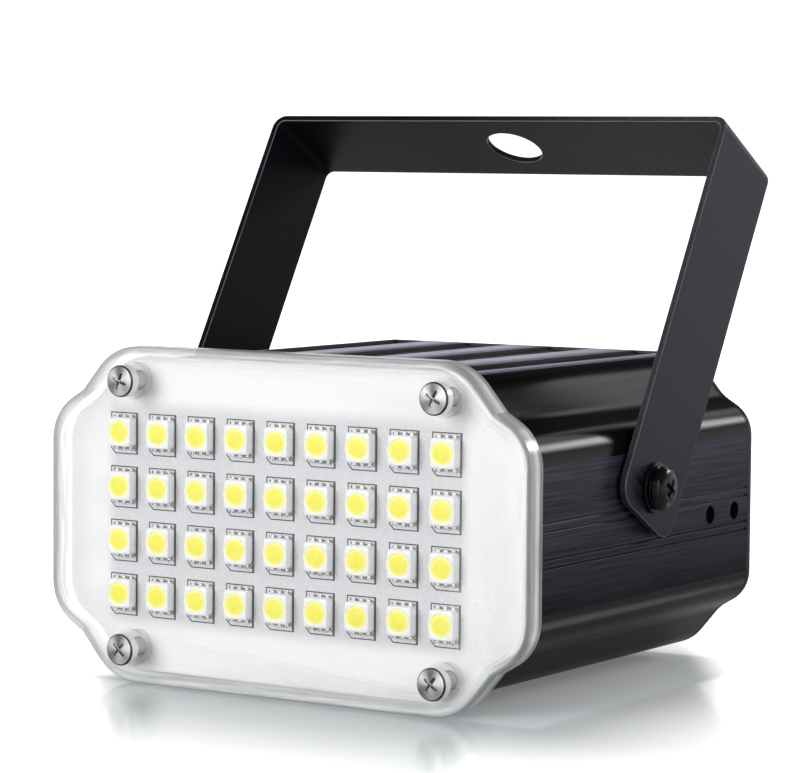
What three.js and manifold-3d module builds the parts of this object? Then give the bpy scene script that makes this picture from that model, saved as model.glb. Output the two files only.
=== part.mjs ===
// A small strobe light: an extruded aluminium housing with a clear front cover over a board of
// lamps, a rear panel with a speed control and a cord gland, and a steel bracket that swings on
// two screws. Millimetres. +Z is up, the light shines towards -Y, and the origin is the middle
// of the housing's underside.
import * as THREE from 'three';
import { mergeVertices } from 'three/addons/utils/BufferGeometryUtils.js';
import Module from 'manifold-3d';

// Clearances that every piece shares
const seatGap = 0.2;
const holeGap = 0.25;
const overrun = 1;

// How finely round shapes are divided
const wideSides = 24;
const roundSides = 16;
const smallSides = 12;
const arcSteps = 4;

// Housing: the outline of the extrusion, its walls and the grooves along it
const housingWidth = 95;
const housingHeight = 55;
const housingLength = 78.8;
const housingWall = 1.6;
const waistFromSide = 6;
const waistFromTop = 7.6;
const sideLobeRise = 3.6;
const topLobeRun = 6.4;
const sideLobeRadius = 6.5;
const topLobeRadius = 8.5;
const waistRadius = 7;
const landWidth = 9.5;
const landGrooveWidth = 9;
const edgeGrooveWidth = 7.2;
const landGrooveDepth = 0.5;
const lineGrooveWidth = 0.45;
const lineGrooveDepth = 0.45;
const sideBandDrop = 0.8;
const innerLineHeight = 4.7;
const outerLineHeight = 7.7;
const sideHoleDiameter = 3.3;
const sideHoleSpacing = 9.5;
const sideHoleFromRear = 5.4;

// Corner ports that take the cover's and the panel's screws, and the rails for the control board
const portFromSide = 14.75;
const portFromTop = 3.6;
const portWall = 1.5;
const railDepth = 2;
const railThickness = 1.2;
const railDrop = 9;

// Screws of the cover and of the rear panel
const screwDiameter = 2.9;
const screwLength = 14;
const screwHeadDiameter = 5.7;
const screwHeadHeight = 2.1;
const recessArmWidth = 0.8;
const recessSpan = 3.1;
const recessDepth = 1;

// Front cover: a clear tray whose rim stands proud of the housing
const coverOverhang = 2.5;
const coverDepth = 4.9;
const coverWall = 1.4;
const coverEdgeRound = 1.1;
const postWall = 1.5;

// Board with its lamps, in strings of one column each
const boardThickness = 1.2;
const boardInset = 0.45;
const lampColumns = 9;
const lampRows = 4;
const lampFromLeft = 11.7;
const lampFromRight = 15.3;
const lampFromTop = 13.025;
const lampWidth = 4.9;
const lampHeight = 5.1;
const lampDepth = 1.6;
const lampWellDiameter = 4.3;
const lampWellDepth = 0.3;
const trackWidth = 1.4;
const trackThickness = 0.25;

// Bracket: a flat steel strap bent twice, and the screws that it swings on
const strapWidth = 20;
const strapThickness = 1.2;
const strapBendRadius = 2.6;
const strapReach = 69.5;
const strapBelowPivot = 6.4;
const strapEndRadius = 4;
const strapHoleDiameter = 10.8;
const strapTilt = THREE.MathUtils.degToRad(30.2);
const pivotForward = 0.9;
const pivotAboveMiddle = 6.4;
const pivotScrewDiameter = 4;
const pivotHeadDiameter = 8.4;
const pivotHeadHeight = 1.8;
const pivotRecessScale = 1.35;
const frictionWasherThickness = 0.7;
const frictionWasherDiameter = 11;
const flatWasherThickness = 0.5;
const flatWasherDiameter = 9;
const springWasherThickness = 0.5;
const springWasherDiameter = 7.8;
const springWasherSlot = 0.7;
const pivotNutAcross = 7;
const pivotNutHeight = 3.2;
const pivotThreadBeyondNut = 1.5;

// Rear panel with the speed control and the cord gland
const panelThickness = 1.5;
const controlFromMiddle = 20;
const controlAboveMiddle = 6;
const shaftDiameter = 6;
const bushDiameter = 7;
const bushBeyondNut = 0.3;
const potDiameter = 16.5;
const potDepth = 8.5;
const potSeatDepth = 3;
const potNutAcross = 10;
const potNutThickness = 2;
const knobDiameter = 16;
const knobTopDiameter = 13.6;
const knobLength = 13;
const knobSkirt = 2.4;
const knobFace = 3;
const knobEdge = 0.8;
const knobRibs = 12;
const knobRibDepth = 0.5;
const knobMarkWidth = 1;
const knobMarkDepth = 0.5;
const glandFromMiddle = 22;
const glandBoreDiameter = 7.2;
const glandThreadDiameter = 12;
const glandThreadLength = 8;
const glandFlangeDiameter = 18;
const glandFlangeThickness = 3;
const glandCapDiameter = 15;
const glandCapLength = 8;
const glandCapTaper = 2;
const lockNutAcross = 16;
const lockNutThickness = 3;

// Control board on the rails and what stands on it
const controlBoardThickness = 1.5;
const controlBoardLength = 56;
const controlBoardFromRear = 4;
const bigCapDiameter = 12.5;
const bigCapHeight = 20;
const smallCapDiameter = 8;
const smallCapHeight = 12;
const capCrimp = 0.5;
const partSpacing = 2.95;
const rectifierWidth = 15;
const rectifierDepth = 3.6;
const rectifierHeight = 11;
const transistorWidth = 10;
const transistorDepth = 4.5;
const transistorHeight = 15;
const transistorTabDepth = 1.3;
const transistorTabHeight = 6;
const transistorHoleDiameter = 3.6;
const transistorSpacing = 16;
const fuseDiameter = 5.2;
const fuseLength = 20;
const fuseCapLength = 5;
const fuseCapGrow = 0.3;
const fuseFoot = 1.2;
const terminalWidth = 10;
const terminalDepth = 7.6;
const terminalHeight = 10;
const terminalScrewDiameter = 3;
const terminalScrewDepth = 1;
const capsuleDiameter = 6;
const capsuleLength = 4.6;
const capsuleFromWall = 0.6;
const trimmerWidth = 4.8;
const trimmerDepth = 6.8;
const trimmerHeight = 7;
const trimmerScrewDiameter = 2.4;
const leadDiameter = 1.7;
const leadSpacing = 4.2;
const leadPadDrop = 6;
const leadSteps = 9;
const leadLowShare = 0.3;
const leadMiddleShare = 0.6;
const leadHighShare = 0.85;

// Sizes that follow from the ones above
const middleZ = housingHeight / 2;
const housingFront = -housingLength / 2;
const housingRear = housingLength / 2;
const housingSide = housingWidth / 2;
const boardRear = housingFront - seatGap;
const boardFront = boardRear - boardThickness;
const coverRear = housingFront - seatGap;
const coverFront = coverRear - coverDepth;
const panelFront = housingRear + seatGap;
const panelRear = panelFront + panelThickness;
const screwHoleRadius = screwDiameter / 2 + holeGap;
const portRadius = screwHoleRadius + portWall;
const portX = housingSide - portFromSide;
const portRise = middleZ - portFromTop;
const lampPitchX = (housingWidth - lampFromLeft - lampFromRight) / (lampColumns - 1);
const lampPitchZ = (housingHeight - 2 * lampFromTop) / (lampRows - 1);
const sideBandZ = middleZ - sideBandDrop;
const pivotY = -pivotForward;
const pivotZ = middleZ + pivotAboveMiddle;
const strapInner = housingSide + 2 * seatGap + frictionWasherThickness;
const strapOuter = strapInner + strapThickness;
const pivotHoleRadius = pivotScrewDiameter / 2 + holeGap;
const controlZ = middleZ + controlAboveMiddle;
const potNutSeat = panelRear + seatGap;
const bushEnd = potNutSeat + potNutThickness + bushBeyondNut;
const potFront = panelFront - seatGap - potDepth;
const knobSeat = bushEnd + seatGap;
const railZ = middleZ - railDrop;
const controlBoardTop = railZ + controlBoardThickness / 2;
const componentBase = controlBoardTop + seatGap;
const cavitySide = housingSide - housingWall;

const wasm = await Module();
wasm.setup();

// A closed geometry as a solid that can be cut and joined
function toSolid(geometry) {
  const bare = geometry.clone();
  bare.deleteAttribute('normal');
  bare.deleteAttribute('uv');
  const merged = mergeVertices(bare);
  return new wasm.Manifold(new wasm.Mesh({
    numProp: 3,
    vertProperties: new Float32Array(merged.attributes.position.array),
    triVerts: new Uint32Array(merged.index.array),
  }));
}

function toGeometry(solid) {
  const mesh = solid.getMesh();
  const geometry = new THREE.BufferGeometry();
  geometry.setAttribute('position', new THREE.BufferAttribute(mesh.vertProperties, 3));
  geometry.setIndex(new THREE.BufferAttribute(mesh.triVerts, 1));
  geometry.computeVertexNormals();
  return geometry;
}

function cut(base, ...tools) {
  return toGeometry(tools.reduce((solid, tool) => solid.subtract(toSolid(tool)), toSolid(base)));
}

function join(base, ...others) {
  return toGeometry(others.reduce((solid, other) => solid.add(toSolid(other)), toSolid(base)));
}

function overlap(base, other) {
  return toGeometry(toSolid(base).intersect(toSolid(other)));
}

// Corners of an outline, moved out along both neighbouring edges, with their radii to match
function grownCorners(corners, grow) {
  const outward = (from, to) => new THREE.Vector2(to.y - from.y, from.x - to.x).normalize();
  return corners.map((corner, i) => {
    const before = outward(corners.at(i - 1).point, corner.point);
    const after = outward(corner.point, corners[(i + 1) % corners.length].point);
    const shift = before.clone().add(after).multiplyScalar(grow / (1 + before.dot(after)));
    const bulges = before.cross(after) > 0;
    return {
      point: corner.point.clone().add(shift),
      radius: corner.radius + (bulges ? grow : -grow),
    };
  });
}

// An outline with each corner replaced by an arc that touches both of its edges
function roundedPoints(corners) {
  return corners.flatMap((corner, i) => {
    const toBefore = corners.at(i - 1).point.clone().sub(corner.point).normalize();
    const toAfter = corners[(i + 1) % corners.length].point.clone().sub(corner.point).normalize();
    const halfAngle = Math.acos(toBefore.dot(toAfter)) / 2;
    const middle = toBefore.clone().add(toAfter).setLength(corner.radius / Math.sin(halfAngle));
    const centre = corner.point.clone().add(middle);
    const reach = corner.radius / Math.tan(halfAngle);
    const start = corner.point.clone().addScaledVector(toBefore, reach).sub(centre);
    const end = corner.point.clone().addScaledVector(toAfter, reach).sub(centre);
    const sweep = Math.atan2(start.cross(end), start.dot(end));
    return Array.from({ length: arcSteps + 1 }, (_, step) => start.clone()
      .rotateAround(new THREE.Vector2(), sweep * step / arcSteps).add(centre));
  });
}

// The outline of the body: straight sides, and at each corner a lobe, a waist and another lobe
function bodyCorners() {
  const side = housingWidth / 2;
  const top = housingHeight / 2;
  const waistX = side - waistFromSide;
  const waistZ = top - waistFromTop;
  const quarter = [
    { x: side, y: waistZ - sideLobeRise, radius: sideLobeRadius },
    { x: waistX, y: waistZ, radius: waistRadius },
    { x: waistX - topLobeRun, y: top, radius: topLobeRadius },
  ];
  const mirrored = [...quarter].reverse();
  const place = (list, signX, signY) => list.map(({ x, y, radius }) => ({
    point: new THREE.Vector2(signX * x, signY * y),
    radius,
  }));
  return [
    ...place(quarter, 1, 1), ...place(mirrored, -1, 1),
    ...place(quarter, -1, -1), ...place(mirrored, 1, -1),
  ];
}

// The body's outline, grown by a length, as a slab between two places along Y
function bodySlab(grow, front, rear) {
  const shape = new THREE.Shape(roundedPoints(grownCorners(bodyCorners(), grow)));
  const slab = new THREE.ExtrudeGeometry(shape, { depth: rear - front, bevelEnabled: false });
  return slab.rotateX(Math.PI / 2).translate(0, rear, middleZ);
}

// The same slab with its front edge rounded
function roundedBodySlab(grow, front, rear, edge) {
  const shape = new THREE.Shape(roundedPoints(grownCorners(bodyCorners(), grow)));
  const slab = new THREE.ExtrudeGeometry(shape, {
    depth: rear - front,
    bevelThickness: edge,
    bevelSize: edge,
    bevelOffset: -edge,
    bevelSegments: 2,
  });
  slab.rotateX(Math.PI / 2).translate(0, rear + edge, middleZ);
  const beyond = boxFrom([-housingWidth, rear, -housingHeight], [housingWidth, rear + housingLength,
    2 * housingHeight]);
  return cut(slab, beyond);
}

function boxFrom(low, high) {
  const size = high.map((value, i) => value - low[i]);
  const centre = high.map((value, i) => (value + low[i]) / 2);
  return new THREE.BoxGeometry(...size).translate(...centre);
}

// A box by its size, standing on a height, with its middle at a place in plan
function boxOn(width, depth, height, x, y, base) {
  return new THREE.BoxGeometry(width, depth, height).translate(x, y, base + height / 2);
}

function rodAlongY(radius, front, rear, x, z, sides = roundSides) {
  const rod = new THREE.CylinderGeometry(radius, radius, rear - front, sides);
  return rod.translate(x, (front + rear) / 2, z);
}

function rodAlongX(radius, from, to, y, z, sides = roundSides) {
  const rod = new THREE.CylinderGeometry(radius, radius, to - from, sides).rotateZ(-Math.PI / 2);
  return rod.translate((from + to) / 2, y, z);
}

function rodAlongZ(radius, base, top, x, y, sides = roundSides) {
  const rod = new THREE.CylinderGeometry(radius, radius, top - base, sides).rotateX(Math.PI / 2);
  return rod.translate(x, y, (base + top) / 2);
}

// A turned shape about Y, from points given as radius and place along the axis, lowest Y first
function turned(points, sides) {
  return new THREE.LatheGeometry(points.map(([r, y]) => new THREE.Vector2(r, y)), sides);
}

function ring(outerRadius, innerRadius, thickness) {
  return turned([
    [innerRadius, 0], [outerRadius, 0], [outerRadius, thickness], [innerRadius, thickness],
    [innerRadius, 0],
  ], roundSides);
}

// A hexagonal nut about Y with its bore
function hexNut(across, boreRadius, thickness) {
  const cornerRadius = across / Math.sqrt(3);
  const blank = rodAlongY(cornerRadius, 0, thickness, 0, 0, 6);
  return cut(blank, rodAlongY(boreRadius, -overrun, thickness + overrun, 0, 0));
}

// A pan head screw about Y: the head's seat at zero, the shank towards +Y, a cross in the head
function panScrew({ shankRadius, shankLength, headRadius, headHeight, crossScale }) {
  const crownShare = 0.62;
  const edgeShare = 0.45;
  const tip = shankRadius / 2;
  const body = turned([
    [0, -headHeight], [headRadius * crownShare, -headHeight], [headRadius, -headHeight * edgeShare],
    [headRadius, 0], [shankRadius, 0], [shankRadius, shankLength - tip],
    [shankRadius - tip, shankLength], [0, shankLength],
  ], roundSides);
  const span = recessSpan * crossScale;
  const arm = recessArmWidth * crossScale;
  const floor = recessDepth * crossScale - headHeight;
  const armAcross = boxFrom([-span / 2, -headHeight - overrun, -arm / 2], [span / 2, floor, arm / 2]);
  const armUp = boxFrom([-arm / 2, -headHeight - overrun, -span / 2], [arm / 2, floor, span / 2]);
  return cut(body, join(armAcross, armUp));
}

const model = new THREE.Group();

function add(name, geometry, material, place = (mesh) => mesh) {
  const mesh = new THREE.Mesh(geometry, material.clone());
  mesh.name = name;
  place(mesh);
  model.add(mesh);
  return mesh;
}

const finish = (color, roughness, metalness) => new THREE.MeshStandardMaterial({
  color, roughness, metalness,
});
const anodised = finish(0x1d1e22, 0.42, 0.8);
const clearPlastic = finish(0xf4f6f7, 0.08, 0);
const whiteBoard = finish(0xeeeeee, 0.5, 0);
const lampBody = finish(0xf5f1b0, 0.4, 0);
const nickel = finish(0xb9b9bb, 0.3, 1);
const blackSteel = finish(0x222327, 0.45, 0.6);
const blackScrew = finish(0x101012, 0.25, 0.7);
const nylon = finish(0x19191a, 0.6, 0);
const blackPlastic = finish(0x17171a, 0.5, 0);
const greenBoard = finish(0x1f5a34, 0.5, 0);
const capSleeve = finish(0x20242e, 0.4, 0);
const partPlastic = finish(0x16171a, 0.5, 0);
const glassTube = finish(0xdfe5e3, 0.1, 0);
const terminalPlastic = finish(0x2f7d4f, 0.5, 0);
const trimmerPlastic = finish(0x2b5fa8, 0.5, 0);
const capsuleMetal = finish(0xa9abad, 0.35, 0.9);
const redSleeve = finish(0xa3201c, 0.45, 0);
const blackSleeve = finish(0x121213, 0.45, 0);

// The four places of the corner screws, seen along Y
const portPlaces = [[-1, 1], [1, 1], [1, -1], [-1, -1]].map(([signX, signZ]) => ({
  x: signX * portX,
  z: middleZ + signZ * portRise,
}));

function makeHousing() {
  const front = housingFront;
  const rear = housingRear;
  const tube = cut(
    bodySlab(0, front, rear),
    bodySlab(-housingWall, front - overrun, rear + overrun),
  );
  const ports = portPlaces.map(({ x, z }) => overlap(
    rodAlongY(portRadius, front, rear, x, z),
    bodySlab(-housingWall / 2, front, rear),
  ));
  const railOffset = (controlBoardThickness + railThickness) / 2 + holeGap;
  const railWidth = railDepth + housingWall / 2;
  const rails = [-1, 1].flatMap((side) => [-1, 1].map((level) => boxOn(
    railWidth, housingLength, railThickness, side * (cavitySide - railDepth + railWidth / 2), 0,
    railZ + level * railOffset - railThickness / 2,
  )));
  const solid = join(tube, ...ports, ...rails);

  const portHoles = portPlaces.map(({ x, z }) => rodAlongY(
    screwHoleRadius, front - overrun, rear + overrun, x, z, smallSides,
  ));
  const groovePitch = (landWidth + landGrooveWidth) / 2;
  const edgeGroove = groovePitch + landGrooveWidth / 2 + landWidth + edgeGrooveWidth / 2;
  const wideGrooves = [-1, 1].flatMap((side) => [
    [groovePitch, landGrooveWidth],
    [edgeGroove, edgeGrooveWidth],
  ].flatMap(([x, width]) => [landGrooveDepth - overrun, housingHeight - landGrooveDepth].map(
    (base) => boxOn(width, housingLength + 2 * overrun, overrun, side * x, 0, base),
  )));
  const lineGrooves = [-1, 1].flatMap((side) => [innerLineHeight, outerLineHeight].flatMap(
    (height) => [-1, 1].map((level) => boxOn(
      2 * lineGrooveDepth, housingLength + 2 * overrun, lineGrooveWidth,
      side * housingSide, 0, sideBandZ + level * height / 2 - lineGrooveWidth / 2,
    )),
  ));
  const pivotHole = rodAlongX(
    pivotHoleRadius, -housingSide - overrun, housingSide + overrun, pivotY, pivotZ,
  );
  const sideHoles = [0, 1].map((i) => rodAlongX(
    sideHoleDiameter / 2, cavitySide - overrun, housingSide + overrun,
    sideHoleY(i), sideBandZ, smallSides,
  ));
  return cut(solid, ...portHoles, ...wideGrooves, ...lineGrooves, pivotHole, ...sideHoles);
}

// Place along Y of the small holes in the right side, the one nearest the rear first
function sideHoleY(i) {
  return housingRear - sideHoleFromRear - i * sideHoleSpacing;
}

function makeCover() {
  const shell = roundedBodySlab(coverOverhang, coverFront, coverRear, coverEdgeRound);
  const hollow = bodySlab(coverOverhang - coverWall, coverFront + coverWall, coverRear + overrun);
  const posts = portPlaces.map(({ x, z }) => rodAlongY(
    screwHoleRadius + postWall, coverFront + coverWall / 2, boardFront - seatGap, x, z,
  ));
  const holes = portPlaces.map(({ x, z }) => rodAlongY(
    screwHoleRadius, coverFront - overrun, coverRear + overrun, x, z, smallSides,
  ));
  return cut(join(cut(shell, hollow), ...posts), ...holes);
}

function makeLampBoard() {
  const plate = bodySlab(coverOverhang - coverWall - boardInset, boardFront, boardRear);
  return cut(plate, ...portPlaces.map(({ x, z }) => rodAlongY(
    screwHoleRadius, boardFront - overrun, boardRear + overrun, x, z, smallSides,
  )));
}

// One column of lamps on the copper track that feeds them
function makeLampString(column) {
  const x = lampFromLeft - housingSide + column * lampPitchX;
  const trackRear = boardFront - seatGap;
  const lampRear = trackRear - trackThickness;
  const lampFront = lampRear - lampDepth;
  const span = (lampRows - 1) * lampPitchZ;
  const track = boxFrom(
    [x - trackWidth / 2, lampRear, middleZ - span / 2],
    [x + trackWidth / 2, trackRear, middleZ + span / 2],
  );
  const lamps = Array.from({ length: lampRows }, (_, row) => {
    const z = middleZ + span / 2 - row * lampPitchZ;
    const body = boxFrom(
      [x - lampWidth / 2, lampFront, z - lampHeight / 2],
      [x + lampWidth / 2, trackRear - trackThickness / 2, z + lampHeight / 2],
    );
    const wellEnd = lampFront + lampWellDepth;
    const well = rodAlongY(lampWellDiameter / 2, lampFront - overrun, wellEnd, x, z, smallSides);
    return cut(body, well);
  });
  return join(track, ...lamps);
}

// The strap seen along Y as a bent band, upright over the pivot, then tilted back
function makeBracket() {
  const band = (half, top, bottom, radius) => roundedPoints([
    { point: new THREE.Vector2(half, bottom), radius: seatGap },
    { point: new THREE.Vector2(half, top), radius },
    { point: new THREE.Vector2(-half, top), radius },
    { point: new THREE.Vector2(-half, bottom), radius: seatGap },
  ]);
  const slab = (points, depth) => new THREE.ExtrudeGeometry(new THREE.Shape(points), {
    depth,
    bevelEnabled: false,
  }).rotateX(Math.PI / 2).translate(0, depth / 2, 0);
  const outer = slab(band(strapOuter, strapReach, -strapBelowPivot, strapBendRadius), strapWidth);
  const inner = slab(
    band(strapInner, strapReach - strapThickness, -strapBelowPivot - overrun,
      strapBendRadius - strapThickness),
    strapWidth + 2 * overrun,
  );
  const half = strapWidth / 2;
  const sideView = new THREE.Shape(roundedPoints([
    { point: new THREE.Vector2(half, -strapBelowPivot), radius: strapEndRadius },
    { point: new THREE.Vector2(half, strapReach + overrun), radius: seatGap },
    { point: new THREE.Vector2(-half, strapReach + overrun), radius: seatGap },
    { point: new THREE.Vector2(-half, -strapBelowPivot), radius: strapEndRadius },
  ]));
  const width = 2 * (strapOuter + overrun);
  const trimmed = new THREE.ExtrudeGeometry(sideView, { depth: width, bevelEnabled: false })
    .rotateY(Math.PI / 2).rotateX(Math.PI / 2).translate(-width / 2, 0, 0);
  const pivotHole = rodAlongX(pivotHoleRadius, -width / 2, width / 2, 0, 0);
  const hangingHole = rodAlongZ(
    strapHoleDiameter / 2, strapReach - strapThickness - overrun, strapReach + overrun, 0, 0, wideSides,
  );
  return cut(overlap(cut(outer, inner), trimmed), pivotHole, hangingHole);
}

function makeSpringWasher() {
  const outer = springWasherDiameter / 2;
  const slot = boxFrom(
    [-springWasherSlot / 2, -overrun, 0],
    [springWasherSlot / 2, springWasherThickness + overrun, outer + overrun],
  );
  return cut(ring(outer, pivotHoleRadius, springWasherThickness), slot);
}

// Everything on one pivot, from the screw's head inwards, for the left or the right side
function addPivot(name, side) {
  const friction = housingSide + seatGap;
  const flatSeat = strapOuter + seatGap;
  const springSeat = flatSeat + flatWasherThickness + seatGap;
  const headSeat = springSeat + springWasherThickness + seatGap;
  const nutSeat = cavitySide - seatGap - pivotNutHeight;
  const shankEnd = nutSeat - pivotThreadBeyondNut;
  const outward = (x) => (mesh) => {
    mesh.rotation.z = -side * Math.PI / 2;
    mesh.position.set(side * x, pivotY, pivotZ);
  };
  const screw = panScrew({
    shankRadius: pivotScrewDiameter / 2,
    shankLength: headSeat - shankEnd,
    headRadius: pivotHeadDiameter / 2,
    headHeight: pivotHeadHeight,
    crossScale: pivotRecessScale,
  });
  add(`pivot_screw_${name}`, screw, blackScrew, (mesh) => {
    mesh.rotation.z = side * Math.PI / 2;
    mesh.position.set(side * headSeat, pivotY, pivotZ);
  });
  const springWasher = makeSpringWasher();
  add(`pivot_spring_washer_${name}`, springWasher, blackScrew, outward(springSeat));
  const flatWasher = ring(flatWasherDiameter / 2, pivotHoleRadius, flatWasherThickness);
  add(`pivot_flat_washer_${name}`, flatWasher, blackScrew, outward(flatSeat));
  const padding = ring(frictionWasherDiameter / 2, pivotHoleRadius, frictionWasherThickness);
  add(`friction_washer_${name}`, padding, nylon, outward(friction));
  const nut = hexNut(pivotNutAcross, pivotHoleRadius, pivotNutHeight);
  add(`pivot_nut_${name}`, nut, nickel, outward(nutSeat));
}

function makeRearPanel() {
  const plate = bodySlab(0, panelFront, panelRear);
  const holes = portPlaces.map(({ x, z }) => rodAlongY(
    screwHoleRadius, panelFront - overrun, panelRear + overrun, x, z, smallSides,
  ));
  const bushHole = rodAlongY(
    bushDiameter / 2 + holeGap, panelFront - overrun, panelRear + overrun,
    controlFromMiddle, controlZ,
  );
  const glandHole = rodAlongY(
    glandThreadDiameter / 2 + holeGap, panelFront - overrun, panelRear + overrun,
    -glandFromMiddle, controlZ,
  );
  return cut(plate, ...holes, bushHole, glandHole);
}

// The control's can with its threaded bush and the blind bore for the shaft, front end at zero
function makePotBody() {
  const can = potDiameter / 2;
  const bush = bushDiameter / 2;
  const bore = shaftDiameter / 2 + holeGap;
  const length = bushEnd - potFront;
  return turned([
    [0, 0], [can, 0], [can, potDepth], [bush, potDepth], [bush, length], [bore, length],
    [bore, potDepth - potSeatDepth], [0, potDepth - potSeatDepth],
  ], wideSides);
}

// A ribbed knob with a blind bore, its open end at zero and its face towards +Y
function makeKnob() {
  const skirtRadius = knobDiameter / 2;
  const topRadius = knobTopDiameter / 2;
  const bore = shaftDiameter / 2 + holeGap;
  const boreEnd = knobLength - knobFace;
  const body = turned([
    [0, boreEnd], [bore, boreEnd], [bore, 0], [skirtRadius, 0], [skirtRadius, knobSkirt],
    [topRadius + knobEdge, knobSkirt], [topRadius, knobLength - knobEdge],
    [topRadius - knobEdge, knobLength], [0, knobLength],
  ], wideSides);
  const flutes = Array.from({ length: knobRibs }, (_, i) => {
    const angle = 2 * Math.PI * i / knobRibs;
    const reach = topRadius + knobEdge / 2;
    return rodAlongY(
      knobRibDepth, knobSkirt + knobEdge, knobLength + overrun,
      reach * Math.sin(angle), reach * Math.cos(angle), 6,
    );
  });
  const mark = boxFrom(
    [-knobMarkWidth / 2, knobLength - knobMarkDepth, 0],
    [knobMarkWidth / 2, knobLength + overrun, topRadius + overrun],
  );
  return cut(body, ...flutes, mark);
}

// The gland with its through bore: thread inside the panel, flange and cap behind it
function makeGland() {
  const bore = glandBoreDiameter / 2;
  const thread = glandThreadDiameter / 2;
  const flange = glandFlangeDiameter / 2;
  const cap = glandCapDiameter / 2;
  const flangeEnd = glandFlangeThickness;
  const capEnd = flangeEnd + glandCapLength;
  const threadEnd = -glandThreadLength;
  const sleeve = turned([
    [bore, threadEnd], [thread, threadEnd], [thread, 0], [cap, 0], [cap, capEnd - glandCapTaper],
    [cap - glandCapTaper, capEnd], [bore, capEnd], [bore, threadEnd],
  ], wideSides);
  const hexFlange = cut(
    rodAlongY(flange, 0, flangeEnd, 0, 0, 6),
    rodAlongY(bore + glandCapTaper / 2, -overrun, flangeEnd + overrun, 0, 0, wideSides),
  );
  return join(sleeve, hexFlange);
}

function makeControlBoard() {
  const rear = housingRear - controlBoardFromRear;
  return boxFrom(
    [-cavitySide + seatGap, rear - controlBoardLength, railZ - controlBoardThickness / 2],
    [cavitySide - seatGap, rear, railZ + controlBoardThickness / 2],
  );
}

// An upright can with a crimp near its foot
function makeCapacitor(diameter, height, x, y) {
  const radius = diameter / 2;
  const crimp = diameter / 8;
  const can = turned([
    [0, 0], [radius, 0], [radius, crimp], [radius - capCrimp, crimp + capCrimp],
    [radius, crimp + 2 * capCrimp], [radius, height - capCrimp], [radius - capCrimp, height],
    [0, height],
  ], roundSides);
  return can.rotateX(Math.PI / 2).translate(x, y, componentBase);
}

function makeTransistor(x, y) {
  const bodyTop = componentBase + transistorHeight - transistorTabHeight;
  const body = boxFrom(
    [x - transistorWidth / 2, y - transistorDepth / 2, componentBase],
    [x + transistorWidth / 2, y + transistorDepth / 2, bodyTop],
  );
  const tabTop = componentBase + transistorHeight;
  const tab = boxFrom(
    [x - transistorWidth / 2, y - transistorDepth / 2, bodyTop - transistorTabDepth],
    [x + transistorWidth / 2, y - transistorDepth / 2 + transistorTabDepth, tabTop],
  );
  const hole = rodAlongY(
    transistorHoleDiameter / 2, y - transistorDepth, y + transistorDepth, x,
    tabTop - transistorTabHeight / 2, smallSides,
  );
  return cut(join(body, tab), hole);
}

// A glass fuse lying in two clips that stand on the board
function makeFuse(x, y) {
  const radius = fuseDiameter / 2;
  const capRadius = radius + fuseCapGrow;
  const axisZ = componentBase + fuseFoot + capRadius;
  const half = fuseLength / 2;
  const tube = turned([
    [0, -half], [capRadius, -half], [capRadius, fuseCapLength - half],
    [radius, fuseCapLength - half], [radius, half - fuseCapLength],
    [capRadius, half - fuseCapLength], [capRadius, half], [0, half],
  ], smallSides).translate(x, y, axisZ);
  const clips = [-1, 1].map((end) => boxOn(
    fuseDiameter, fuseCapLength / 2, fuseFoot + radius, x,
    y + end * (half - fuseCapLength / 2), componentBase,
  ));
  return join(tube, ...clips);
}

function makeTerminalBlock(x, y) {
  const block = boxOn(terminalWidth, terminalDepth, terminalHeight, x, y, componentBase);
  const top = componentBase + terminalHeight;
  const screws = [-1, 1].map((side) => rodAlongZ(
    terminalScrewDiameter / 2, top - terminalScrewDepth, top + overrun,
    x + side * terminalWidth / 4, y, smallSides,
  ));
  return cut(block, ...screws);
}

// The microphone capsule behind one side hole, on two stiff leads from the board
function makeMicrophone() {
  const outer = cavitySide - capsuleFromWall;
  const y = sideHoleY(1);
  const capsule = rodAlongX(capsuleDiameter / 2, outer - capsuleLength, outer, y, sideBandZ);
  const leads = [-1, 1].map((side) => boxOn(
    recessArmWidth, recessArmWidth, sideBandZ - componentBase,
    outer - capsuleLength / 2, y + side * capsuleDiameter / 4, componentBase,
  ));
  return join(capsule, ...leads);
}

// The sensitivity trimmer behind the other side hole, its screw facing the hole
function makeTrimmer() {
  const outer = cavitySide - railDepth - seatGap;
  const y = sideHoleY(0);
  const top = sideBandZ + trimmerHeight / 2;
  const body = boxFrom(
    [outer - trimmerWidth, y - trimmerDepth / 2, componentBase],
    [outer, y + trimmerDepth / 2, top],
  );
  const screw = rodAlongX(
    trimmerScrewDiameter / 2, outer - trimmerScrewDiameter / 2, cavitySide - capsuleFromWall, y,
    sideBandZ, smallSides,
  );
  return join(body, screw);
}

// An insulated lead from the terminal block forward and up to the back of the lamp board
function makeLead(side, terminalX, terminalY) {
  const x = terminalX + side * leadSpacing / 2;
  const start = terminalY - terminalDepth / 2 - seatGap;
  const end = boardRear + seatGap;
  const low = componentBase + leadDiameter;
  const high = middleZ - leadPadDrop;
  const reach = (share) => start + share * (end - start);
  const path = new THREE.CatmullRomCurve3([
    new THREE.Vector3(x, start, low),
    new THREE.Vector3(x, reach(leadLowShare), low),
    new THREE.Vector3(x, reach(leadMiddleShare), (low + high) / 2),
    new THREE.Vector3(x, reach(leadHighShare), high),
    new THREE.Vector3(x, end, high),
  ]);
  const radius = leadDiameter / 2;
  const section = new THREE.Shape(Array.from({ length: 8 }, (_, i) => new THREE.Vector2(
    radius * Math.cos(Math.PI * i / 4),
    radius * Math.sin(Math.PI * i / 4),
  )));
  return new THREE.ExtrudeGeometry(section, {
    steps: leadSteps,
    extrudePath: path,
    bevelEnabled: false,
  });
}

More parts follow.
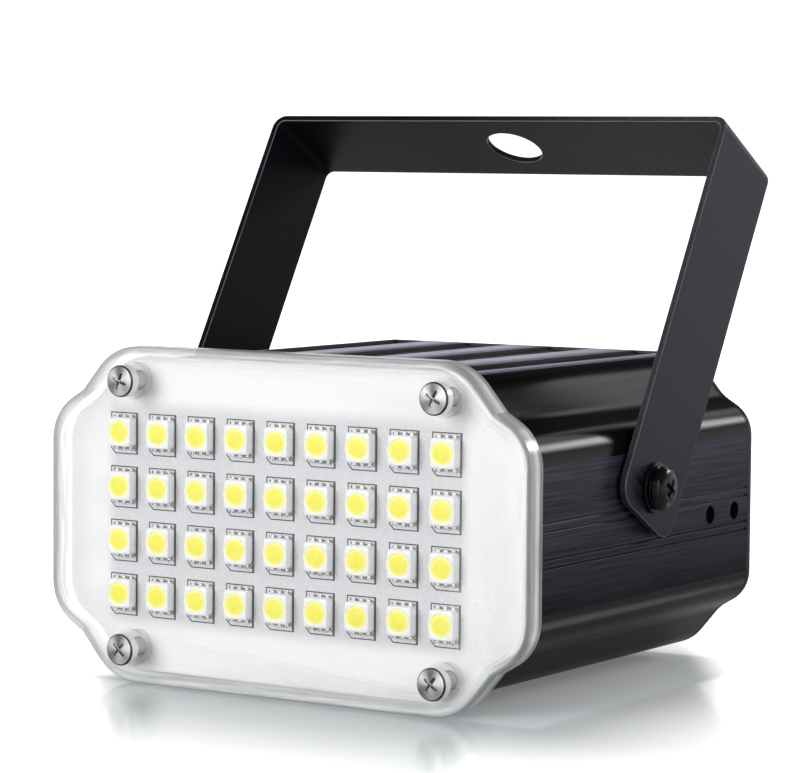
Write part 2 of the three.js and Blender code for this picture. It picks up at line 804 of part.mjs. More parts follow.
add('housing', makeHousing(), anodised);
add('front_cover', makeCover(), clearPlastic);
add('lamp_board', makeLampBoard(), whiteBoard);
for (let column = 0; column < lampColumns; column += 1) {
  add(`lamp_string_${column + 1}`, makeLampString(column), lampBody);
}

const cornerScrew = panScrew({
  shankRadius: screwDiameter / 2,
  shankLength: screwLength,
  headRadius: screwHeadDiameter / 2,
  headHeight: screwHeadHeight,
  crossScale: 1,
});
portPlaces.forEach(({ x, z }, i) => {
  add(`cover_screw_${i + 1}`, cornerScrew, nickel, (mesh) => {
    mesh.position.set(x, coverFront - seatGap, z);
  });
  add(`panel_screw_${i + 1}`, cornerScrew, blackScrew, (mesh) => {
    mesh.rotation.z = Math.PI;
    mesh.position.set(x, panelRear + seatGap, z);
  });
});

add('bracket', makeBracket(), blackSteel, (mesh) => {
  mesh.rotation.x = -strapTilt;
  mesh.position.set(0, pivotY, pivotZ);
});
addPivot('left', -1);
addPivot('right', 1);

add('rear_panel', makeRearPanel(), blackSteel);
const shaftFront = potFront + potDepth - potSeatDepth + seatGap;
const shaftRear = knobSeat + knobLength - knobFace - seatGap;
add('pot_body', makePotBody(), capsuleMetal, (mesh) => {
  mesh.position.set(controlFromMiddle, potFront, controlZ);
});
const potNut = hexNut(potNutAcross, bushDiameter / 2 + holeGap, potNutThickness);
add('pot_nut', potNut, nickel, (mesh) => {
  mesh.position.set(controlFromMiddle, potNutSeat, controlZ);
});
const potShaft = rodAlongY(shaftDiameter / 2, 0, shaftRear - shaftFront, 0, 0);
add('pot_shaft', potShaft, capsuleMetal, (mesh) => {
  mesh.position.set(controlFromMiddle, shaftFront, controlZ);
});
add('speed_knob', makeKnob(), blackPlastic, (mesh) => {
  mesh.position.set(controlFromMiddle, knobSeat, controlZ);
});
add('cord_gland', makeGland(), blackPlastic, (mesh) => {
  mesh.position.set(-glandFromMiddle, panelRear + seatGap, controlZ);
});
const lockNut = hexNut(lockNutAcross, glandThreadDiameter / 2 + holeGap, lockNutThickness);
add('gland_lock_nut', lockNut, blackPlastic, (mesh) => {
  mesh.position.set(-glandFromMiddle, panelFront - seatGap - lockNutThickness, controlZ);
});

add('control_board', makeControlBoard(), greenBoard);
const terminalX = -cavitySide / 2;
const terminalY = housingRear - controlBoardFromRear - controlBoardLength + terminalDepth;
const rowY = terminalY + bigCapDiameter + terminalDepth / 2;
const rectifierX = terminalX + terminalWidth / 2 + partSpacing + rectifierWidth / 2;
add('capacitor_large', makeCapacitor(bigCapDiameter, bigCapHeight, terminalX, rowY), capSleeve);
add('capacitor_small', makeCapacitor(
  smallCapDiameter, smallCapHeight, terminalX + bigCapDiameter + smallCapDiameter / 2, rowY,
), capSleeve);
add('rectifier', boxOn(
  rectifierWidth, rectifierDepth, rectifierHeight, rectifierX, terminalY, componentBase,
), partPlastic);
[0, 1].forEach((i) => {
  const x = (i + 1 / 2) * transistorSpacing;
  add(`driver_transistor_${i + 1}`, makeTransistor(x, rowY), partPlastic);
});
add('fuse', makeFuse(terminalX - bigCapDiameter, rowY + bigCapDiameter), glassTube);
add('terminal_block', makeTerminalBlock(terminalX, terminalY), terminalPlastic);
add('microphone', makeMicrophone(), capsuleMetal);
add('trimmer', makeTrimmer(), trimmerPlastic);
add('lamp_lead_positive', makeLead(-1, terminalX, terminalY), redSleeve);
add('lamp_lead_negative', makeLead(1, terminalX, terminalY), blackSleeve);

export default model;
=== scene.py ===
import itertools
import math

import bmesh
import bpy
import numpy as np
from mathutils import Matrix, Vector


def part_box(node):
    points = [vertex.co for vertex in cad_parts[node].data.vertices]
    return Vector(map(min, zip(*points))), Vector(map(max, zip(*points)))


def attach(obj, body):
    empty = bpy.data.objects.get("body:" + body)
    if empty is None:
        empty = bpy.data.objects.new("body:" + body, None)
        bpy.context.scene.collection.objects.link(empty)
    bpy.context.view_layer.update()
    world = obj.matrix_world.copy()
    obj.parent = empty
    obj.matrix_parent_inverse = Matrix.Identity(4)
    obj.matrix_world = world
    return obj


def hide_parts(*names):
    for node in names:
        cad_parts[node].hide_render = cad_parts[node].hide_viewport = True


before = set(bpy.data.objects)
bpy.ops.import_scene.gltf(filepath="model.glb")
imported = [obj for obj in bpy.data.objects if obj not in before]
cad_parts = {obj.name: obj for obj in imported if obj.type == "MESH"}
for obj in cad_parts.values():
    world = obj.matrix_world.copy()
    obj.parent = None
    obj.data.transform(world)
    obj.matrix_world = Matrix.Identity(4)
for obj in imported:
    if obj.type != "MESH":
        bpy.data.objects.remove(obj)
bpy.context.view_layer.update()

mm = 0.001
fullTurn = 2 * math.pi
mergeWithin = 0.0005  # mm, closer points of one mesh become one
overrun = 1.0  # mm, how far a cutting rod passes a face
rodSides = 32


def nodeBox(node):
    # lowest and highest corner of a node, in millimetres
    return [np.array(corner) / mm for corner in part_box(node)]


def nodeCentre(node):
    return sum(nodeBox(node)) / 2


def linkNew(name, data):
    thing = bpy.data.objects.new(name, data)
    bpy.context.scene.collection.objects.link(thing)
    return thing


# Camera, set to the photograph's view
photoView = {
    'azimuth': 33.0, 'elevation': 4.147, 'roll': 0.434, 'distance': 553.14,
    'aim': (23.33, -44.5, 52.93), 'lens': 151.265, 'sensor': 36.0, 'clip': (0.01, 20),
}


def makeCamera(values):
    azimuth, elevation, roll = (math.radians(values[key])
                                for key in ('azimuth', 'elevation', 'roll'))
    back = Vector((math.sin(azimuth) * math.cos(elevation),
                   -math.cos(azimuth) * math.cos(elevation), math.sin(elevation)))
    level = Vector((math.cos(azimuth), math.sin(azimuth), 0))
    upright = back.cross(level)
    right = level * math.cos(roll) + upright * math.sin(roll)
    up = upright * math.cos(roll) - level * math.sin(roll)
    camera = bpy.data.cameras.new('camera')
    camera.lens, camera.sensor_width = values['lens'], values['sensor']
    camera.clip_start, camera.clip_end = values['clip']
    place = (Vector(values['aim']) + back * values['distance']) * mm
    holder = linkNew('camera', camera)
    turn = Matrix((right, up, back)).transposed().to_4x4()
    holder.matrix_world = Matrix.Translation(place) @ turn
    bpy.context.scene.camera = holder


makeCamera(photoView)
print('camera placed')


# Surfaces: each is a grid of points, rows by columns, with its faces and its material's number

def gridSurface(points, number=0, uv=None, capFirst=False, capLast=False):
    # neighbouring points of the grid joined by quads, and an end row filled where asked
    rows, columns = points.shape[:2]
    i, j = np.meshgrid(np.arange(rows - 1), np.arange(columns - 1), indexing='ij')
    low = i * columns + j
    faces = np.stack([low, low + 1, low + columns + 1, low + columns], -1).reshape(-1, 4).tolist()
    last = (rows - 1) * columns
    if capFirst:
        faces.append(list(range(columns - 2, -1, -1)))
    if capLast:
        faces.append(list(range(last, last + columns - 1)))
    numbers = np.broadcast_to(number, (rows - 1,)).repeat(columns - 1).tolist()
    numbers += [int(np.ravel(number)[0])] * capFirst + [int(np.ravel(number)[-1])] * capLast
    flatUv = np.zeros((rows * columns, 2)) if uv is None else uv.reshape(-1, 2)
    return {'points': points.reshape(-1, 3), 'faces': faces, 'numbers': numbers, 'uv': flatUv}


def closedLoop(points):
    # the first point again at the end, so that a grid closes on itself
    return np.concatenate([points, points[:1]])


def makeMesh(name, surfaces, materials, sharp=35):
    counts = [len(surface['points']) for surface in surfaces]
    starts = np.concatenate([[0], np.cumsum(counts)[:-1]])
    faces = [[int(start) + k for k in face]
             for surface, start in zip(surfaces, starts) for face in surface['faces']]
    points = np.concatenate([surface['points'] for surface in surfaces]) * mm
    uv = np.concatenate([surface['uv'] for surface in surfaces])
    mesh = bpy.data.meshes.new(name)
    mesh.from_pydata(points.tolist(), [], faces)
    for material in materials:
        mesh.materials.append(material)
    numbers = sum((surface['numbers'] for surface in surfaces), [])
    mesh.polygons.foreach_set('material_index', numbers)
    corners = np.empty(len(mesh.loops), dtype=np.int32)
    mesh.loops.foreach_get('vertex_index', corners)
    mesh.uv_layers.new(name='flow').data.foreach_set('uv', uv[corners].ravel())
    work = bmesh.new()
    work.from_mesh(mesh)
    bmesh.ops.remove_doubles(work, verts=work.verts, dist=mergeWithin * mm)
    bmesh.ops.dissolve_degenerate(work, edges=work.edges, dist=mergeWithin * mm)
    bmesh.ops.recalc_face_normals(work, faces=work.faces)
    work.to_mesh(mesh)
    work.free()
    mesh.polygons.foreach_set('use_smooth', np.ones(len(mesh.polygons), dtype=bool))
    mesh.set_sharp_from_angle(angle=math.radians(sharp))
    return mesh


def makePiece(name, surfaces, materials, slot, *nodes, sharp=35, body='body'):
    piece = linkNew(name, makeMesh(name, surfaces, materials, sharp))
    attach(piece, body)
    if nodes:
        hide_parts(*nodes)
    return piece


def readVectors(items, key):
    # one vector of each vertex or face, as the rows of an array
    values = np.empty(len(items) * 3)
    items.foreach_get(key, values)
    return values.reshape(-1, 3)


def vertexFlow(mesh):
    # both values of the uv layer at each vertex
    corners = np.empty(len(mesh.loops), dtype=np.int32)
    uv = np.empty(len(mesh.loops) * 2)
    mesh.loops.foreach_get('vertex_index', corners)
    mesh.uv_layers['flow'].data.foreach_get('uv', uv)
    flow = np.zeros((len(mesh.vertices), 2))
    flow[corners] = uv.reshape(-1, 2)
    return flow


def keepValue(mesh, name, values):
    mesh.attributes.new(name, 'FLOAT', 'POINT').data.foreach_set('value', values)


def cutHoles(piece, tools, sharp=35):
    # the piece's mesh with each tool's solid taken out of it
    cutter = linkNew('cutter', makeMesh('cutter', tools, []))
    modifier = piece.modifiers.new('holes', 'BOOLEAN')
    modifier.object, modifier.solver = cutter, 'EXACT'
    whole = piece.evaluated_get(bpy.context.evaluated_depsgraph_get())
    piece.data = bpy.data.meshes.new_from_object(whole)
    piece.modifiers.clear()
    piece.data.name = piece.name
    piece.data.set_sharp_from_angle(angle=math.radians(sharp))
    bpy.data.objects.remove(cutter)


# Turning a shape made about +Y so that its axis lies along another one, then moving it

alongY = np.eye(3)
alongX = np.array([[0, 1, 0], [-1, 0, 0], [0, 0, 1]])
alongMinusX = np.array([[0, -1, 0], [1, 0, 0], [0, 0, 1]])
alongMinusY = np.array([[-1, 0, 0], [0, -1, 0], [0, 0, 1]])


def placed(points, centre, turn=alongY):
    return points @ turn.T + np.array(centre)


def turnedRings(rows, angle):
    # a radius r and a height h, each one number or one at each angle a: (r sin a, h, r cos a)
    return np.stack([
        np.stack([radius * np.sin(angle), np.full_like(angle, height), radius * np.cos(angle)], -1)
        for radius, height in rows])


def turnedPoints(profile, sides):
    return turnedRings(profile, np.linspace(0, fullTurn, sides + 1))


def turnedSurface(profile, sides, centre, turn=alongY):
    return gridSurface(placed(turnedPoints(profile, sides), centre, turn))


def rod(radius, low, high, centre, turn=alongY):
    section = [(0, low), (radius, low), (radius, high), (0, high)]
    return turnedSurface(section, rodSides, centre, turn)


def roundTurn(middle, radius, first, last, steps):
    # points of an arc in the profile's plane, from one angle to another, in degrees
    angle = np.radians(np.linspace(first, last, steps + 1))
    return list(zip(middle[0] + radius * np.cos(angle), middle[1] + radius * np.sin(angle)))


# Outlines

def growPolygon(points, grow):
    # each corner moved out along both neighbouring edges by the same length
    before = points - np.roll(points, 1, 0)
    after = np.roll(points, -1, 0) - points
    normals = [np.stack([edge[:, 1], -edge[:, 0]], 1) / np.linalg.norm(edge, axis=1)[:, None]
               for edge in (before, after)]
    dot = (normals[0] * normals[1]).sum(1, keepdims=True)
    turning = np.sign(before[:, 0] * after[:, 1] - before[:, 1] * after[:, 0])
    return points + (normals[0] + normals[1]) * grow / (1 + dot), turning


def roundCorners(points, radii, steps):
    # each corner as an arc that touches both of its edges, steps + 1 points long
    toBefore = np.roll(points, 1, 0) - points
    toAfter = np.roll(points, -1, 0) - points
    toBefore /= np.linalg.norm(toBefore, axis=1)[:, None]
    toAfter /= np.linalg.norm(toAfter, axis=1)[:, None]
    half = np.arccos((toBefore * toAfter).sum(1)) / 2
    middle = toBefore + toAfter
    middle *= (radii / np.sin(half) / np.linalg.norm(middle, axis=1))[:, None]
    centre = points + middle
    reach = (radii / np.tan(half))[:, None]
    start, end = points + toBefore * reach - centre, points + toAfter * reach - centre
    sweep = np.arctan2(start[:, 0] * end[:, 1] - start[:, 1] * end[:, 0], (start * end).sum(1))
    angle = sweep[:, None] * np.linspace(0, 1, steps + 1)
    x = start[:, :1] * np.cos(angle) - start[:, 1:] * np.sin(angle)
    z = start[:, :1] * np.sin(angle) + start[:, 1:] * np.cos(angle)
    return np.stack([x, z], -1) + centre[:, None]


housingLow, housingHigh = nodeBox('housing')
housingHalf = (housingHigh - housingLow) / 2
middleZ = (housingLow[2] + housingHigh[2]) / 2

outline = {
    'waistFromSide': 6.0, 'waistFromTop': 7.6, 'sideLobeRise': 3.6, 'topLobeRun': 6.4,
    'sideLobeRadius': 6.5, 'topLobeRadius': 8.5, 'waistRadius': 7.0, 'arcSteps': 10,
}


def cornerArcs(grow, waistRadius=outline['waistRadius']):
    # the arcs of one corner of the body, from the side up over the waist to the top, grown evenly
    side, top = housingHalf[0], housingHalf[2]
    waistX, waistZ = side - outline['waistFromSide'], top - outline['waistFromTop']
    points = np.array([
        (side, -top), (side, waistZ - outline['sideLobeRise']), (waistX, waistZ),
        (waistX - outline['topLobeRun'], top), (-side, top),
    ])
    radii = np.array([1, outline['sideLobeRadius'], waistRadius, outline['topLobeRadius'], 1])
    grown, turning = growPolygon(points, grow)
    arcs = roundCorners(grown, radii + turning * grow, outline['arcSteps'])
    return arcs[1:4].reshape(-1, 2)


def bodyLoop(grow, sideRun=(), topRun=(), waistRadius=outline['waistRadius']):
    # the whole outline, anticlockwise; a run is a list of (place, depth) from minus to plus
    arcs = cornerArcs(grow, waistRadius)
    side, top = housingHalf[0] + grow, housingHalf[2] + grow
    up = np.array(sideRun, dtype=float).reshape(-1, 2)
    along = np.array(topRun, dtype=float).reshape(-1, 2)
    right = np.stack([side - up[:, 1], up[:, 0]], 1)
    upper = np.stack([-along[:, 0], top - along[:, 1]], 1)
    mirrorX, mirrorZ = np.array([-1, 1]), np.array([1, -1])
    return np.concatenate([
        right, arcs, upper, (arcs * mirrorX)[::-1], (right * mirrorX)[::-1], -arcs,
        (upper * mirrorZ)[::-1], (arcs * mirrorZ)[::-1],
    ])


def ringsAlongY(rows, x=0.0, z=0.0):
    # each row is an outline in X and Z, and its place along Y
    return np.stack([np.stack([x + loop[:, 0], np.full(len(loop), place), z + loop[:, 1]], 1)
                     for loop, place in rows])


def lengthsAlong(points):
    # the length from the first point to each one
    steps = np.linalg.norm(np.diff(points, axis=0), axis=1)
    return np.concatenate([[0], np.cumsum(steps)])


def stack(loops, places, number=0, capFirst=False, capLast=False):
    # outlines one behind the other, each closed, with the lengths round and along them as the uv
    loops = [closedLoop(loop) for loop in loops]
    points = ringsAlongY(zip(loops, places), 0.0, middleZ)
    uv = np.stack(np.broadcast_arrays(lengthsAlong(loops[0])[None],
                                      lengthsAlong(points[:, 0])[:, None]), -1)
    return gridSurface(points, number, uv, capFirst, capLast)


def boxSurface(low, high, number=0):
    # a plain box as a closed stack of two rectangles along Y
    loop = np.array([(high[0], low[2]), (high[0], high[2]), (low[0], high[2]), (low[0], low[2]),
                     (high[0], low[2])], dtype=float)
    return gridSurface(ringsAlongY([(loop, low[1]), (loop, high[1])]), number, None, True, True)


# Materials. Colours are linear, and a pattern reads Object coordinates or the piece's own uv.

def feed(node, values):
    # sockets by name or number: what comes from another node is linked, the rest is set. A colour
    # is three values, or one for a grey.
    for key, value in dict(values).items():
        socket = node.inputs[key]
        if isinstance(value, bpy.types.NodeSocket):
            node.id_data.links.new(value, socket)
        else:
            isColour = socket.type == 'RGBA'
            socket.default_value = (*np.broadcast_to(value, 3), 1) if isColour else value
    return node


def addNode(near, kind, values=()):
    # a node in the tree of a node or socket that is already there
    return feed(near.id_data.nodes.new('ShaderNode' + kind), values)


def startMaterial(name, coordinates='object', stretch=(1, 1, 1)):
    material = bpy.data.materials.new(name)
    material.use_nodes = True
    shader = material.node_tree.nodes['Principled BSDF']
    if coordinates == 'uv':
        source = addNode(shader, 'UVMap')
        source.uv_map = 'flow'
        place = source.outputs['UV']
    else:
        place = addNode(shader, 'TexCoord').outputs['Object']
    mapping = addNode(shader, 'Mapping', {'Scale': stretch, 'Vector': place})
    return material, shader, mapping.outputs['Vector']


def addNoise(vector, scale, detail=3.0, roughness=0.55):
    return addNode(vector, 'TexNoise', {'Vector': vector, 'Scale': scale, 'Detail': detail,
                                        'Roughness': roughness}).outputs['Fac']


def addRange(value, low, high, fromLow=0.3, fromHigh=0.7):
    span = addNode(value, 'MapRange', {'Value': value, 'From Min': fromLow, 'From Max': fromHigh,
                                       'To Min': low, 'To Max': high})
    span.interpolation_type = 'SMOOTHSTEP'
    return span.outputs['Result']


def addMix(factor, first, second):
    mix = addNode(factor, 'Mix')
    mix.data_type = 'RGBA'
    return feed(mix, {'Factor': factor, 6: first, 7: second}).outputs[2]  # 6 and 7: the colours


def addMath(operation, first, second):
    node = addNode(first, 'Math', {0: first, 1: second})
    node.operation = operation
    return node.outputs[0]


def addBump(shader, height, distance):
    bump = addNode(shader, 'Bump', {'Distance': distance * mm, 'Height': height})
    feed(shader, {'Normal': bump.outputs['Normal']})


def addAttribute(near, name):
    attribute = addNode(near, 'Attribute')
    attribute.attribute_name = name
    return attribute.outputs['Fac']


def splitAxes(vector):
    return addNode(vector, 'SeparateXYZ', {'Vector': vector}).outputs


def makeFinish(name, dark, light, rough, scale, stretch=(1, 1, 1), bump=0.0, coordinates='object',
               **sockets):
    # a colour and a roughness that wander between two values, and a fine bump of the same pattern
    material, shader, vector = startMaterial(name, coordinates, stretch)
    pattern = addNoise(vector, scale)
    feed(shader, {'Base Color': addMix(addRange(pattern, 0, 1), dark, light),
                  'Roughness': addRange(pattern, *rough)})
    if bump:
        addBump(shader, pattern, bump)
    feed(shader, {key.replace('_', ' '): value for key, value in sockets.items()})
    return material


# Finishes of the metal and of the plain pieces: two colours, a roughness, a scale per metre, a
# stretch and the bump's depth in mm
grainStretch = (1, 0.02, 1)
blueSheen = (0.8, 0.82, 1)
anodised = makeFinish('anodisedLobe', 0.003, 0.006, (0.18, 0.24), 1800, grainStretch,
                      Specular_IOR_Level=0.09)
landFinish = makeFinish('anodisedLand', (0.02, 0.02, 0.025), (0.034, 0.034, 0.042), (0.28, 0.36),
                        2600, grainStretch, 0.006, Specular_IOR_Level=0.3, Specular_Tint=blueSheen,
                        Sheen_Weight=0.35, Sheen_Roughness=0.3, Sheen_Tint=(0.7, 0.7, 1))
bandFinish = makeFinish('anodisedBand', (0.014, 0.014, 0.015), (0.024, 0.024, 0.026), (0.46, 0.56),
                        2600, grainStretch, 0.006, Specular_IOR_Level=0.14)
strapFinish = makeFinish('strapSatin', (0.003, 0.003, 0.008), (0.017, 0.017, 0.029), (0.34, 0.44),
                         1.3, (1, 0.03, 1), 0.006, 'uv', Specular_IOR_Level=0.15,
                         Specular_Tint=blueSheen)
# painted highlight: the strap's bevelled edges get a lighter colour for the edge's highlight
arrisPaintedHighlight = makeFinish('strapArrisPaintedHighlight', (0.07, 0.07, 0.08), (0.12, 0.12, 0.14), (0.3, 0.4), 2.6,
                         (0.03, 1, 1), 0.0, 'uv', Specular_IOR_Level=0.4)
blackScrewFinish = makeFinish('blackScrew', (0.004, 0.004, 0.005), (0.008, 0.008, 0.009),
                              (0.16, 0.26), 900, bump=0.002, Specular_IOR_Level=0.18)
panelFinish = makeFinish('panelPaint', (0.012, 0.012, 0.014), (0.02, 0.02, 0.023), (0.42, 0.55),
                         2200, bump=0.01)
nylonFinish = makeFinish('blackNylon', 0.01, (0.017, 0.017, 0.018), (0.45, 0.58), 1200, bump=0.01)
knobFinish = makeFinish('knobPlastic', (0.011, 0.011, 0.012), (0.019, 0.019, 0.02), (0.4, 0.52),
                        2600, bump=0.012)
nutFinish = makeFinish('nickelNut', (0.5, 0.49, 0.48), (0.66, 0.65, 0.64), (0.2, 0.36), 1500,
                       bump=0.004, Metallic=1.0)
markFinish = makeFinish('markPaint', (0.72, 0.72, 0.7), (0.8, 0.8, 0.78), (0.4, 0.5), 900)
steelFinish = makeFinish('controlSteel', (0.42, 0.42, 0.43), (0.56, 0.56, 0.57), (0.25, 0.4), 1400,
                         (1, 1, 0.05), 0.003, Metallic=1.0)
tinFinish = makeFinish('tin', (0.42, 0.4, 0.4), (0.7, 0.68, 0.68), (0.25, 0.45), 1900, bump=0.01,
                       Metallic=0.4)
# painted reflection: the cover screws' flank and shank get a near-white colour that stands in for
# the white surroundings the nickel reflects
flankPaintedReflection = makeFinish('screwFlankPaintedReflection', 0.82, 0.9, (0.3, 0.4), 1500, Metallic=0.2)
inkFinish = makeFinish('boardInk', (0.008, 0.008, 0.01), (0.02, 0.02, 0.025), (0.5, 0.6), 2500)
fluxFinish = makeFinish('fluxMarks', (0.03, 0.027, 0.027), (0.2, 0.18, 0.18), (0.4, 0.5), 2600)
print('plain finishes made')


def makeSlopedFinish(name, axis, ends, low, high, rough, specular, stretch=(1, 1, 1), bump=0.012):
    # brushed, with two pairs of colours and two specular levels, one for each end along an axis;
    # the colour ramp along the axis is painted shade
    material, shader, vector = startMaterial(name, 'object', stretch)
    pattern = addNoise(vector, 2400, 3.0, 0.65)
    place = splitAxes(vector)[axis]
    ends = [end * mm for end in ends]
    rise = addRange(place, 0.0, 1.0, *ends)
    streak = addRange(pattern, 0, 1)
    feed(shader, {'Base Color': addMix(rise, addMix(streak, *low), addMix(streak, *high)),
                  'Roughness': addRange(pattern, *rough),
                  'Specular IOR Level': addRange(place, *specular, *ends),
                  'Specular Tint': blueSheen})
    addBump(shader, pattern, bump)
    return material


def makeTurnedFinish(name, dark, light, shade, rough, rings, bump):
    # metal with lathe rings by the uv's radius, light and dark sectors of painted reflection by the
    # mesh's value of that name, and a painted shade colour where its painted shade value is 1
    material, shader, vector = startMaterial(name, 'uv', (1, 0, 1))
    ringed = addNoise(vector, rings, 4.0, 0.7)
    fine = addMath('MULTIPLY', addRange(ringed, 0, 1), 0.3)
    metal = addMix(addMath('ADD', fine, addAttribute(shader, 'paintedSheen')), dark, light)
    tangent = addNode(shader, 'Tangent')
    tangent.direction_type, tangent.axis = 'RADIAL', 'Y'
    feed(shader, {'Base Color': addMix(addAttribute(shader, 'paintedShade'), metal, shade),
                  'Roughness': addRange(ringed, *rough), 'Tangent': tangent.outputs[0],
                  'Anisotropic': 0.75, 'Metallic': 1})
    addBump(shader, ringed, bump)
    return material


def makeBoardFinish(name, low, high, blur):
    # white, and a painted soft shadow: a little greyer behind the lamps, fading over a blur's width
    # at that block's edges
    material, shader, vector = startMaterial(name, 'object', (1 / mm, 1 / mm, 1 / mm))
    axes = splitAxes(vector)
    left, right, below, above = (
        addRange(axes[axis], *ends, place - blur, place + blur)
        for axis, place, ends in (('X', low[0], (0, 1)), ('X', high[0], (1, 0)),
                                  ('Z', low[1], (0, 1)), ('Z', high[1], (1, 0))))
    # the painted shadow covers the lamp block and fades at its edges
    inside = addMath('MULTIPLY', addMath('MULTIPLY', left, right),
                     addMath('MULTIPLY', below, above))
    speckle = addNoise(vector, 2.2, 4.0)
    grey = addMix(addRange(speckle, 0, 1), (0.6, 0.6, 0.62), (0.68, 0.68, 0.695))
    white = addMix(addRange(speckle, 0, 1), (0.87, 0.87, 0.875), (0.9, 0.9, 0.905))
    feed(shader, {'Base Color': addMix(inside, white, grey),
                  'Roughness': addRange(speckle, 0.42, 0.5)})
    addBump(shader, speckle, 0.003)
    return material


def makeLampFinish(name, plain, tinted, spread, rough):
    # a colour that turns to another towards the gel's edge, by the mesh's own halo value
    material, shader, vector = startMaterial(name)
    speckle = addNoise(vector, 1200, 3.0)
    base = addMix(addRange(speckle, 0, 1), 0.95 * np.array(plain), plain)
    tint = addRange(addAttribute(shader, 'halo'), 0, 1, *spread)
    feed(shader, {'Base Color': addMix(tint, base, tinted),
                  'Roughness': addRange(speckle, *rough)})
    return material


def startClear(name, rough, streak):
    # clear plastic with faint streaks that follow the moulding
    material, shader, vector = startMaterial(name, 'uv', (0.05, 1, 1))
    pattern = addNoise(vector, streak, 4.0, 0.6)
    feed(shader, {'Roughness': addRange(pattern, *rough), 'IOR': 1.49})
    return material, shader, pattern


def makeClearFinish(name, colour, alpha, rough, streak):
    # mostly see-through: alpha is a range, or the name of a value that the mesh keeps
    material, shader, pattern = startClear(name, rough, streak)
    veil = addAttribute(shader, alpha) if isinstance(alpha, str) else addRange(pattern, *alpha)
    feed(shader, {'Alpha': veil, 'Base Color': addMix(
        addRange(pattern, 0, 1), 0.8 * np.array(colour), colour)})
    return material


def seenDirectly(path):
    # by the camera, or by it through something clear
    return addMath('MAXIMUM', path['Is Camera Ray'], path['Is Transmission Ray'])


def makeRimFinish(name, rough, streak):
    # clear plastic whose edge carries painted highlights and painted shade: the mesh's painted
    # tone is its grey, broken up by the streaks, and its veil how much of it shows. Light passes
    # through far better than the eye does.
    material, shader, pattern = startClear(name, rough, streak)
    paintedTone = addMath('MULTIPLY', addAttribute(shader, 'paintedTone'), addRange(pattern, 0.78, 1.18))
    grey = addNode(shader, 'CombineColor', {0: paintedTone, 1: paintedTone, 2: paintedTone})
    path = addNode(shader, 'LightPath').outputs
    passing = addMath('MAXIMUM', path['Is Shadow Ray'], path['Is Diffuse Ray'])
    kept = addRange(passing, 1.0, 0.2, 0.0, 1.0)
    feed(shader, {'Base Color': grey.outputs[0],
                  'Alpha': addMath('MULTIPLY', addAttribute(shader, 'veil'), kept)})
    return material


# painted shade: the housing's sides darker towards the bottom and lighter towards the top, over
# brushed grain
sideGrainAndPaintedShade = makeSlopedFinish(
    'anodisedSide', 'Z', (2.0, 48.0), ((0.001, 0.001, 0.002), (0.006, 0.006, 0.01)),
    ((0.014, 0.014, 0.021), (0.066, 0.066, 0.088)), (0.32, 0.46), (0.01, 0.1), grainStretch)
# painted shade: the strap's inner faces and rim darker than its outside, lighter towards +X
strapInsidePaintedShade = makeSlopedFinish(
    'strapInsidePaintedShade', 'X', (-20.0, 48.0), ((0.003, 0.003, 0.005), (0.009, 0.009, 0.012)),
    ((0.024, 0.025, 0.026), (0.046, 0.049, 0.051)), (0.4, 0.5), (0.04, 0.1), bump=0.004)
clearOuter = makeRimFinish('clearOuter', (0.18, 0.26), 1.6)
clearInner = makeClearFinish('clearInner', (0.92, 0.93, 0.94), 'innerVeil', (0.1, 0.2), 1.0)
clearPost = makeClearFinish('clearPost', (0.95, 0.95, 0.955), (0.12, 0.18), (0.3, 0.4), 1.0)
lampWhite = makeLampFinish('lampWhite', (0.9, 0.9, 0.905), (0.93, 0.92, 0.55), (0.25, 1.0),
                           (0.35, 0.45))
lampGel = makeLampFinish('lampGel', (0.93, 0.86, 0.05), (0.94, 0.91, 0.3), (0.55, 1.0), (0.3, 0.4))
nickelFinish = makeTurnedFinish('nickelTurned', (0.05, 0.05, 0.052), (0.3, 0.3, 0.305),
                                (0.035, 0.035, 0.038), (0.24, 0.36), 14.0, 0.01)
print('graded finishes made')


# Housing: the extrusion with its wide bands on top and below and its fine lines along the sides
housingShape = {
    'wall': 1.6, 'landWidth': 9.5, 'bandWidth': 9.0, 'edgeBandWidth': 7.2, 'bandDepth': 0.5,
    'lineWidth': 0.45, 'lineDepth': 0.45, 'sideBandDrop': 0.8, 'innerLineHeight': 4.7,
    'outerLineHeight': 7.7, 'endEdge': 0.25, 'lipRound': 0.12, 'panelGap': 0.04,
    'flatMargin': 0.5, 'landTo': 74.0, 'portRadius': 3.2, 'portBore': 1.7, 'portFromSide': 14.75,
    'portFromTop': 3.6, 'railDepth': 2.0, 'railThickness': 1.2, 'railDrop': 9.0, 'railGap': 1.6,
    'pivotHole': 4.5, 'sideHole': 3.3, 'sideHoleSpacing': 9.5, 'sideHoleFromRear': 5.4,
    'portSides': 24,
    'flatFrom': 0.9,  # the share of a normal from which its face counts as facing that way
    'slack': 0.01,
}


def grooveRun(edges, depth, lip):
    # (place, depth) along a run whose grooves lie between pairs of edges, with eased lips
    low, high = np.array(edges, dtype=float).reshape(-1, 2).T
    places = np.stack([low - lip, low, low + lip / 2, high - lip / 2, high, high + lip], 1)
    depths = np.array([0, lip / 2, depth, depth, lip / 2, 0]) * np.ones_like(places)
    return np.stack([places.ravel(), depths.ravel()], 1)


